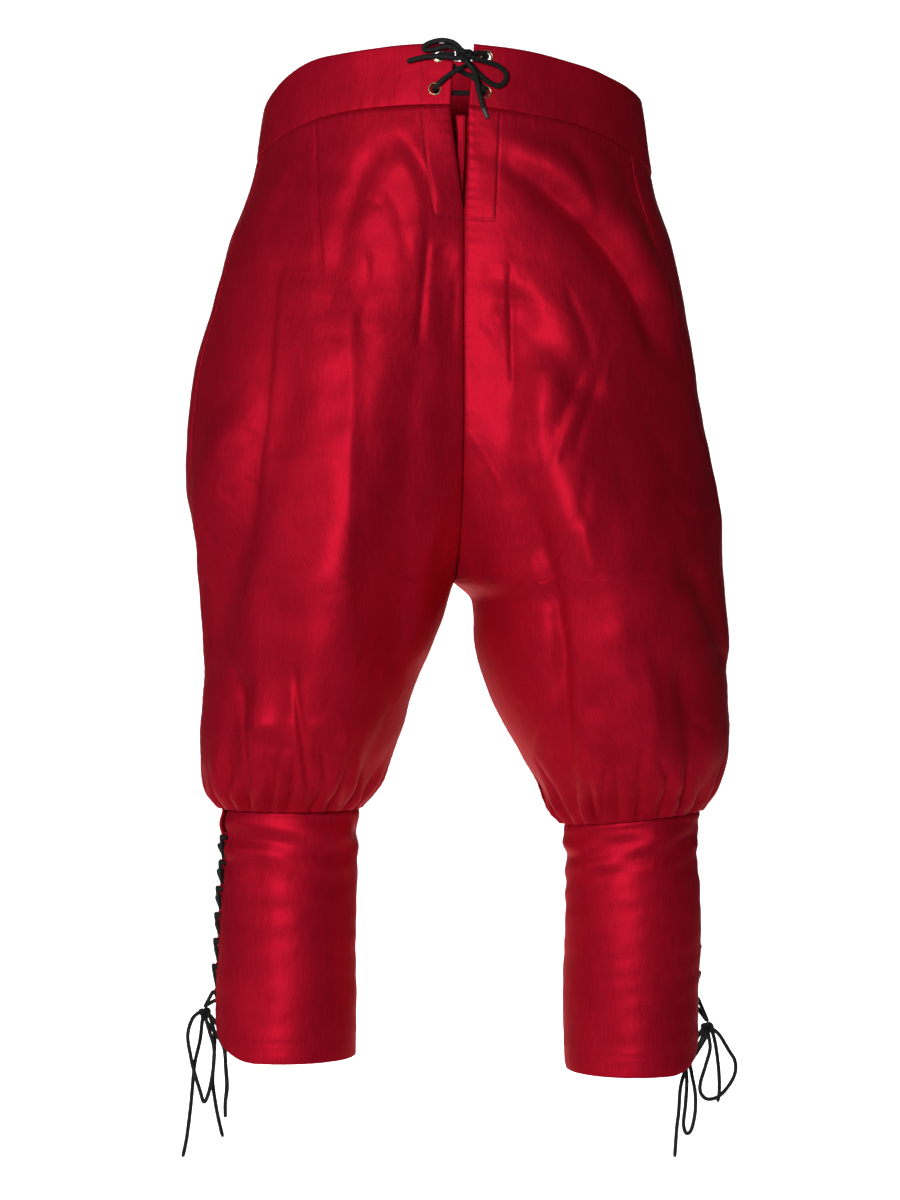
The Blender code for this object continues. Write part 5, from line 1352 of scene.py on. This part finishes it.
def rouleau_loops(side, edge, finish):
    """The seven lacing loops of one edge: soft fabric tubes out from the edge and round a half
    circle, each a circle carried along its path."""
    points, faces, uv = [], [], []
    turn = np.linspace(0.0, 2 * math.pi, LOOP_SIDES, endpoint=False)
    for k in range(LOOPS):
        base, reach, tilted, down, above = loop_axes(side, edge, k)
        bend = LOOP_LONG - LOOP_THICK / 2 - LOOP_HALF
        arc = np.radians(np.linspace(-90, 90, 15))
        half_circle = [base + tilted * (bend + LOOP_HALF * math.cos(t)) + down * LOOP_HALF * math.sin(t)
                       for t in arc]
        arms = [[base + reach * length + down * arm * LOOP_HALF for length in (LOOP_SEAT, LOOP_ROOT)]
                for arm in (-1, 1)]
        route = smooth_route(arms[0] + half_circle + arms[1][::-1], LOOP_RING)
        ahead, _, _ = carried_frames(route)
        side_way = np.cross(ahead, above)
        side_way /= np.linalg.norm(side_way, axis=1)[:, None]
        third = np.cross(side_way, ahead)
        length = np.arange(len(route)) * LOOP_RING
        size = LOOP_THICK / 2 * (1 + 0.05 * np.sin(length / 0.0011 + k))
        rings = route[:, None] + size[:, None, None] * (
            np.cos(turn)[None, :, None] * side_way[:, None] + np.sin(turn)[None, :, None] * third[:, None])
        start = sum(len(p) for p in points)
        body = rings.reshape(-1, 3)
        mine = turned_out(body, tube_faces(len(route), LOOP_SIDES))
        faces += [[start + i for i in face] for face in mine]
        points.append(body)
        across = np.tile(turn, len(route)) * LOOP_THICK / 2
        uv.append(np.stack([across, np.repeat(length, LOOP_SIDES)], axis=-1))
    name = "rouleau_" + side + "_" + edge
    obj = add_mesh(name, np.concatenate(points), faces, np.concatenate(uv), finish)
    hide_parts(*["loop_" + side + "_" + edge + "_" + str(k + 1) for k in range(LOOPS)])
    return obj


def stitches(name, surfaces, lines, finish):
    """Machine stitches along lines drawn on the front's squared paper: each is a small rounded grain
    of thread laid on the nearest point of the cloth, lined up with the seam."""
    cloth = np.concatenate([outer.reshape(-1, 3) for outer, _ in surfaces])
    normals = np.concatenate([normal.reshape(-1, 3) for _, normal in surfaces])
    ahead_facing = normals[:, 1] < -0.2
    cloth, normals = cloth[ahead_facing], normals[ahead_facing]
    paper = on_front(cloth)
    angle = np.linspace(0.0, 2 * math.pi, THREAD_SIDES, endpoint=False)
    points, faces = [], []
    for line in lines:
        runs = [smooth_route([(*a, 0.0), (*b, 0.0)], STITCH / SQUARE)[:, :2]
                for a, b in zip(line[:-1], line[1:])]
        spots = runs[0] if len(runs) == 1 else np.concatenate([run[:-1] for run in runs])
        near = [int(((paper - spot) ** 2).sum(1).argmin()) for spot in spots]
        for k in range(len(near) - 1):
            here = (cloth[near[k]] + cloth[near[k + 1]]) / 2
            forward = cloth[near[k + 1]] - cloth[near[k]]
            if np.linalg.norm(forward) < 1e-5:
                continue
            forward /= np.linalg.norm(forward)
            up = normals[near[k]]
            side_way = np.cross(forward, up)
            rings = []
            for place, size in STITCH_SECTIONS:
                middle = here + forward * place * STITCH + up * (0.00012 * size)
                rings.append(middle + THREAD / 2 * size * (
                    np.cos(angle)[:, None] * side_way + np.sin(angle)[:, None] * up))
            start = sum(len(p) for p in points)
            body = np.concatenate(rings)
            mine = turned_out(body, tube_faces(len(STITCH_SECTIONS), THREAD_SIDES))
            faces += [[start + i for i in face] for face in mine]
            points.append(body)
    points = np.concatenate(points)
    return add_mesh(name, points, faces, points[:, [0, 2]], finish)


def new_finish(name):
    """An empty finish and its nodes, links and shader."""
    material = bpy.data.materials.new(name)
    material.use_nodes = True
    tree = material.node_tree
    return material, tree.nodes, tree.links, tree.nodes["Principled BSDF"]


def mapped(nodes, links, source, scale):
    """Coordinates of the piece ("UV" or "Object"), multiplied along each axis."""
    coordinates = nodes.new("ShaderNodeTexCoord")
    mapping = nodes.new("ShaderNodeMapping")
    mapping.inputs["Scale"].default_value = scale
    links.new(coordinates.outputs[source], mapping.inputs["Vector"])
    return mapping.outputs["Vector"]


def noise(nodes, links, vector, detail=2.0):
    """A noise's value on given coordinates."""
    node = nodes.new("ShaderNodeTexNoise")
    node.inputs["Scale"].default_value = 1.0
    node.inputs["Detail"].default_value = detail
    links.new(vector, node.inputs["Vector"])
    return node.outputs["Fac"]


def sums(nodes, links, pairs):
    """A weighted sum of values."""
    total = None
    for value, weight in pairs:
        scaled = nodes.new("ShaderNodeMath")
        scaled.operation = "MULTIPLY_ADD"
        scaled.inputs[1].default_value = weight
        links.new(value, scaled.inputs[0])
        if total is None:
            scaled.inputs[2].default_value = 0.0
        else:
            links.new(total, scaled.inputs[2])
        total = scaled.outputs[0]
    return total


def between(nodes, links, factor, low, high, dark, light):
    """A colour between two, as a value goes from low to high."""
    ramp = nodes.new("ShaderNodeValToRGB")
    ramp.color_ramp.elements[0].position = low
    ramp.color_ramp.elements[1].position = high
    ramp.color_ramp.elements[0].color = (*dark, 1.0)
    ramp.color_ramp.elements[1].color = (*light, 1.0)
    links.new(factor, ramp.inputs["Fac"])
    return ramp.outputs["Color"]


def bumped(nodes, links, shader, height, distance, strength):
    """Small relief in a finish."""
    bump = nodes.new("ShaderNodeBump")
    bump.inputs["Distance"].default_value = distance
    bump.inputs["Strength"].default_value = strength
    links.new(height, bump.inputs["Height"])
    links.new(bump.outputs["Normal"], shader.inputs["Normal"])


def sateen():
    """Red sateen: long warp floats down the piece, a soft broad sheen, slubs and cloudy dye."""
    material, nodes, links, shader = new_finish("red_sateen")
    cloud = noise(nodes, links, mapped(nodes, links, "Object", (16.0, 16.0, 9.0)), 3.0)
    slub = noise(nodes, links, mapped(nodes, links, "UV", (1500.0, 60.0, 1.0)), 2.0)
    grain = noise(nodes, links, mapped(nodes, links, "UV", (2600.0, 900.0, 1.0)), 1.0)
    crumple = noise(nodes, links, mapped(nodes, links, "UV", (95.0, 60.0, 1.0)), 4.0)
    tone = sums(nodes, links, ((cloud, 0.30), (slub, 0.32), (grain, 0.38)))
    links.new(between(nodes, links, tone, 0.40, 0.60, SATEEN_DARK, SATEEN_LIGHT), shader.inputs["Base Color"])
    rough = nodes.new("ShaderNodeMapRange")
    rough.inputs["From Min"].default_value = 0.35
    rough.inputs["From Max"].default_value = 0.65
    rough.inputs["To Min"].default_value = 0.46
    rough.inputs["To Max"].default_value = 0.58
    links.new(tone, rough.inputs["Value"])
    links.new(rough.outputs["Result"], shader.inputs["Roughness"])
    relief = sums(nodes, links, ((slub, 0.10), (grain, 0.08), (crumple, 1.0)))
    bumped(nodes, links, shader, relief, 0.0009, 0.55)
    shader.inputs["Metallic"].default_value = 0.48
    shader.inputs["Specular IOR Level"].default_value = 0.16
    shader.inputs["Specular Tint"].default_value = (1.0, 0.10, 0.14, 1.0)
    shader.inputs["Sheen Weight"].default_value = 0.05
    shader.inputs["Sheen Roughness"].default_value = 0.5
    shader.inputs["Sheen Tint"].default_value = (1.0, 0.05, 0.10, 1.0)
    return material


def cord_finish():
    """Black braided cord: fine diagonal strands both ways round it, slightly dusty. Its colour follows the
    braid's height: painted shade in the grooves between the strands, paler on their crests.
    """
    material, nodes, links, shader = new_finish("black_cord")
    waves = []
    for slant in (1.0, -1.0):
        mapping = mapped(nodes, links, "UV", (8.0, 4.5 * slant, 1.0))
        wave = nodes.new("ShaderNodeTexWave")
        wave.wave_type = "BANDS"
        wave.bands_direction = "DIAGONAL"
        wave.inputs["Scale"].default_value = 0.5
        wave.inputs["Distortion"].default_value = 0.4
        links.new(mapping, wave.inputs["Vector"])
        waves.append((wave.outputs["Fac"], 0.5))
    fluff = noise(nodes, links, mapped(nodes, links, "Object", (2200.0, 2200.0, 2200.0)), 2.0)
    # the braid's height also sets the colour: painted shade in its grooves and paler crests; the fluff adds
    # dust
    relief = sums(nodes, links, waves + [(fluff, 0.35)])
    links.new(between(nodes, links, relief, 0.2, 1.1, (0.0045, 0.0045, 0.005), (0.026, 0.027, 0.026)),
              shader.inputs["Base Color"])
    bumped(nodes, links, shader, relief, 0.00035, 0.8)
    shader.inputs["Roughness"].default_value = 0.62
    shader.inputs["Specular IOR Level"].default_value = 0.35
    return material


def tip_finish():
    """The grey sealed tip of the waist lace."""
    material, nodes, links, shader = new_finish("sealed_tip")
    scuff = noise(nodes, links, mapped(nodes, links, "Object", (900.0, 900.0, 900.0)), 3.0)
    links.new(between(nodes, links, scuff, 0.3, 0.7, (0.045, 0.048, 0.050), (0.13, 0.135, 0.14)),
              shader.inputs["Base Color"])
    bumped(nodes, links, shader, scuff, 0.0002, 0.5)
    shader.inputs["Roughness"].default_value = 0.38
    return material


def brass():
    """Light brass, bright in some patches and dulled in others."""
    material, nodes, links, shader = new_finish("light_brass")
    patch = noise(nodes, links, mapped(nodes, links, "Object", (700.0, 700.0, 700.0)), 4.0)
    links.new(between(nodes, links, patch, 0.35, 0.7, (0.62, 0.45, 0.20), (0.88, 0.72, 0.42)),
              shader.inputs["Base Color"])
    rough = nodes.new("ShaderNodeMapRange")
    rough.inputs["To Min"].default_value = 0.18
    rough.inputs["To Max"].default_value = 0.42
    links.new(patch, rough.inputs["Value"])
    links.new(rough.outputs["Result"], shader.inputs["Roughness"])
    bumped(nodes, links, shader, patch, 0.00015, 0.35)
    shader.inputs["Metallic"].default_value = 1.0
    return material


def thread_finish():
    """Matching sewing thread, a little darker than the cloth."""
    material, nodes, links, shader = new_finish("red_thread")
    twist = noise(nodes, links, mapped(nodes, links, "Object", (3000.0, 3000.0, 3000.0)), 1.0)
    links.new(between(nodes, links, twist, 0.3, 0.7, (0.16, 0.002, 0.008), (0.30, 0.005, 0.016)),
              shader.inputs["Base Color"])
    shader.inputs["Roughness"].default_value = 0.5
    return material


def seen_directly(nodes, links, strength, as_light, as_seen):
    """Gives a glow one strength as a source of light and another where it is looked at."""
    ray = nodes.new("ShaderNodeLightPath")
    glow = nodes.new("ShaderNodeMapRange")
    glow.inputs["To Min"].default_value = as_light
    glow.inputs["To Max"].default_value = as_seen
    links.new(ray.outputs["Is Camera Ray"], glow.inputs["Value"])
    links.new(glow.outputs["Result"], strength)


def pale_floor():
    """A plain pale floor that curves up into a backdrop far behind the breeches. It is paler where it
    is looked at than as a source of light."""
    material, nodes, links, shader = new_finish("pale_floor")
    shader.inputs["Base Color"].default_value = (0.90, 0.90, 0.90, 1.0)
    shader.inputs["Roughness"].default_value = 0.9
    shader.inputs["Specular IOR Level"].default_value = 0.1
    shader.inputs["Emission Color"].default_value = (1.0, 1.0, 1.0, 1.0)
    seen_directly(nodes, links, shader.inputs["Emission Strength"], 0.0, 0.5)
    floor_z, front_y, back_y, bend, top_z = -1.08, -0.9, 3.2, 1.2, 5.0
    turn = np.linspace(0.0, math.pi / 2, 24)
    y = np.concatenate([[front_y], back_y + bend * np.sin(turn), [back_y + bend]])
    z = np.concatenate([[floor_z], floor_z + bend * (1 - np.cos(turn)), [top_z]])
    x = np.array([-1.5, 1.9])
    points = np.stack([np.tile(x, len(y)), np.repeat(y, 2), np.repeat(z, 2)], axis=-1)
    faces = [[2 * k, 2 * k + 1, 2 * k + 3, 2 * k + 2] for k in range(len(y) - 1)]
    floor = add_mesh("pale_floor", points, faces, points[:, :2], material)


def make_camera():
    """The camera at the photograph's angle: level, in front and a little to the wearer's right."""
    data = bpy.data.cameras.new("camera")
    data.sensor_width = 36.0
    data.lens = data.sensor_width / 2 * DISTANCE / HALF_HEIGHT
    camera = bpy.data.objects.new("camera", data)
    x = math.cos(TURN) * AIM_X - math.sin(TURN) * DISTANCE
    y = -math.sin(TURN) * AIM_X - math.cos(TURN) * DISTANCE
    camera.location = (x, y, AIM_Z)
    camera.rotation_euler = (math.pi / 2, 0.0, -TURN)
    bpy.context.scene.collection.objects.link(camera)
    bpy.context.scene.camera = camera


def area_light(name, place, target, size, power, spread=math.pi):
    """A square studio light at a place, turned to a target."""
    light = bpy.data.lights.new(name, "AREA")
    light.size = size
    light.energy = power
    light.spread = spread
    obj = bpy.data.objects.new(name, light)
    obj.location = place
    away = np.array(place) - np.array(target)
    flat = math.hypot(away[0], away[1])
    obj.rotation_euler = (math.atan2(flat, away[2]), 0.0, math.atan2(away[0], -away[1]))
    bpy.context.scene.collection.objects.link(obj)


def studio():
    """A soft key light from the front, a little left and above, a weak one at the side, two for the
    floor and the backdrop, and a pale world: it is nearly white where it is looked at, and weak as a
    light."""
    world = bpy.data.worlds.new("studio")
    bpy.context.scene.world = world
    world.use_nodes = True
    nodes, links = world.node_tree.nodes, world.node_tree.links
    background = nodes["Background"]
    background.inputs["Color"].default_value = (1.0, 1.0, 1.0, 1.0)
    seen_directly(nodes, links, background.inputs["Strength"], 0.06, 0.86)
    area_light("key", (-0.90, -2.95, -0.05), (0.0, 0.0, -0.40), 0.7, 38.0)
    area_light("side", (-2.6, -1.3, -0.10), (0.0, 0.0, -0.40), 0.9, 6.0)
    area_light("backdrop_light", (0.25, 2.2, 1.7), (0.25, 3.9, -0.3), 2.4, 62.0)
    area_light("floor_light", (0.0, 2.1, 1.3), (0.0, 2.1, -1.0), 1.5, 27.0, spread=1.5)
    scene = bpy.context.scene
    scene.view_settings.view_transform = "Standard"


def waist_route(points):
    """A waist cord's route as places in metres."""
    return [band_place(x / 1000, z / 1000, out / 1000) for x, z, out in points]


def into_knot(places, centre, both):
    """A free stretch's places with its end, or both ends, carried on into the knot."""
    first = [centre + 0.4 * (places[0] - centre)]
    last = [centre + 0.4 * (places[-1] - centre)] if both else []
    return first + list(places) + last


def declare_free(names):
    """A free stretch of cord: it replaces its solids."""
    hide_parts(*names)


def waist_lacing(black, grey):
    """The waist lace, its knot, its two bow loops and its two free ends."""
    lace, _, _ = braided("waist_lace_cord", waist_route(WAIST_LACE), WAIST_CORD, black)
    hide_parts("waist_lace")
    knot = tied("waist_knot_cord", waist_route([WAIST_KNOT])[0], WAIST_KNOT_SIZE, WAIST_CORD, black)
    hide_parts("waist_knot")
    made = [lace, knot]
    for name, points, far_end in (
        ("bow_waist_1", WAIST_LOOP_1, "object"),
        ("bow_waist_2", WAIST_LOOP_2, "object"),
        ("tail_waist_1", WAIST_TAIL_1, "bare"),
        ("tail_waist_2", WAIST_TAIL_2, "bare"),
    ):
        tip = 0.009 if name == "tail_waist_2" else 0.003
        centre = waist_route([WAIST_KNOT])[0]
        places = into_knot(waist_route(points), centre, far_end == "object")
        sealed = 0.0 if far_end == "object" else tip
        obj, route, length = braided(name + "_cord", places, WAIST_CORD, black, sealed)
        if name == "tail_waist_2":
            grey_end(obj, route, tip, grey)
        declare_free([name])
        made.append(obj)
    return made


def grey_end(obj, route, tip, grey):
    """Gives a cord's last stretch the sealed tip's finish."""
    obj.data.materials.append(grey)
    rows = int(round(tip / CORD_RING))
    first = (len(route) - 1 - rows) * CORD_SIDES
    index = np.zeros(len(obj.data.polygons), dtype=np.int32)
    index[first:(len(route) - 1) * CORD_SIDES] = 1
    index[-CORD_SIDES:] = 1
    obj.data.polygons.foreach_set("material_index", index)


def cuff_lacing(side, black):
    """A cuff's lace, its knot, its two bow loops and its two free ends."""
    climb, fall = lace_route(side)
    centre = cuff_knot_place(side)
    apart, above = LACE_AT_KNOT
    start = centre + np.array([0.0, -apart, above])
    end = centre + np.array([0.0, apart, above])
    top_bar = (climb[-1] + fall[0]) / 2 + np.array([0.0, 0.0, TOP_BAR_RISE])
    run = [start] + climb + [top_bar] + fall + [end]
    lace, _, _ = braided("lace_" + side + "_cord", run, CUFF_CORD, black)
    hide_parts("lace_" + side)
    knot = tied("knot_" + side + "_cord", centre, CUFF_KNOT_SIZE, CUFF_CORD, black)
    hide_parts("knot_" + side)
    made = [lace, knot]
    for name, points in BOWS[side].items():
        places = [centre + np.array([SIGN[side] * x, y, z]) / 1000 for x, y, z in points]
        free = name.startswith("tail")
        places = into_knot(places, centre, not free)
        obj, route, length = braided(name + "_cord", places, CUFF_CORD, black, 0.003 if free else 0.0)
        declare_free([name])
        made.append(obj)
    return made


make_camera()
black = cord_finish()
grey = tip_finish()
laces = waist_lacing(black, grey)
for side in SIGN:
    laces += cuff_lacing(side, black)
for obj in laces:
    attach(obj, "root")

red = sateen()
pieces = []
fronts = []
for side in SIGN:
    for panel in ("front", "back"):
        obj, outer, normal = leg_cloth(side, panel, red)
        pieces.append(obj)
        if panel == "front":
            fronts.append((outer, normal))
    obj, outer, normal = band_cloth(side, red)
    pieces.append(obj)
    fronts.append((outer, normal))
    obj, outer, normal = cuff_cloth(side, red)
    pieces.append(obj)
    for edge in ("front", "back"):
        pieces.append(rouleau_loops(side, edge, red))
obj, outer = underlap_cloth(red)
pieces.append(obj)
pieces.append(stitches("facing_stitches", fronts, (FACING_STITCH,) + BAND_STITCH, thread_finish()))
gold = brass()
for k, name in enumerate(("right_upper", "right_lower", "left_upper", "left_lower")):
    obj = eyelet(k, name, gold)
    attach(obj, "root")
for obj in pieces:
    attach(obj, "root")
pale_floor()
studio()
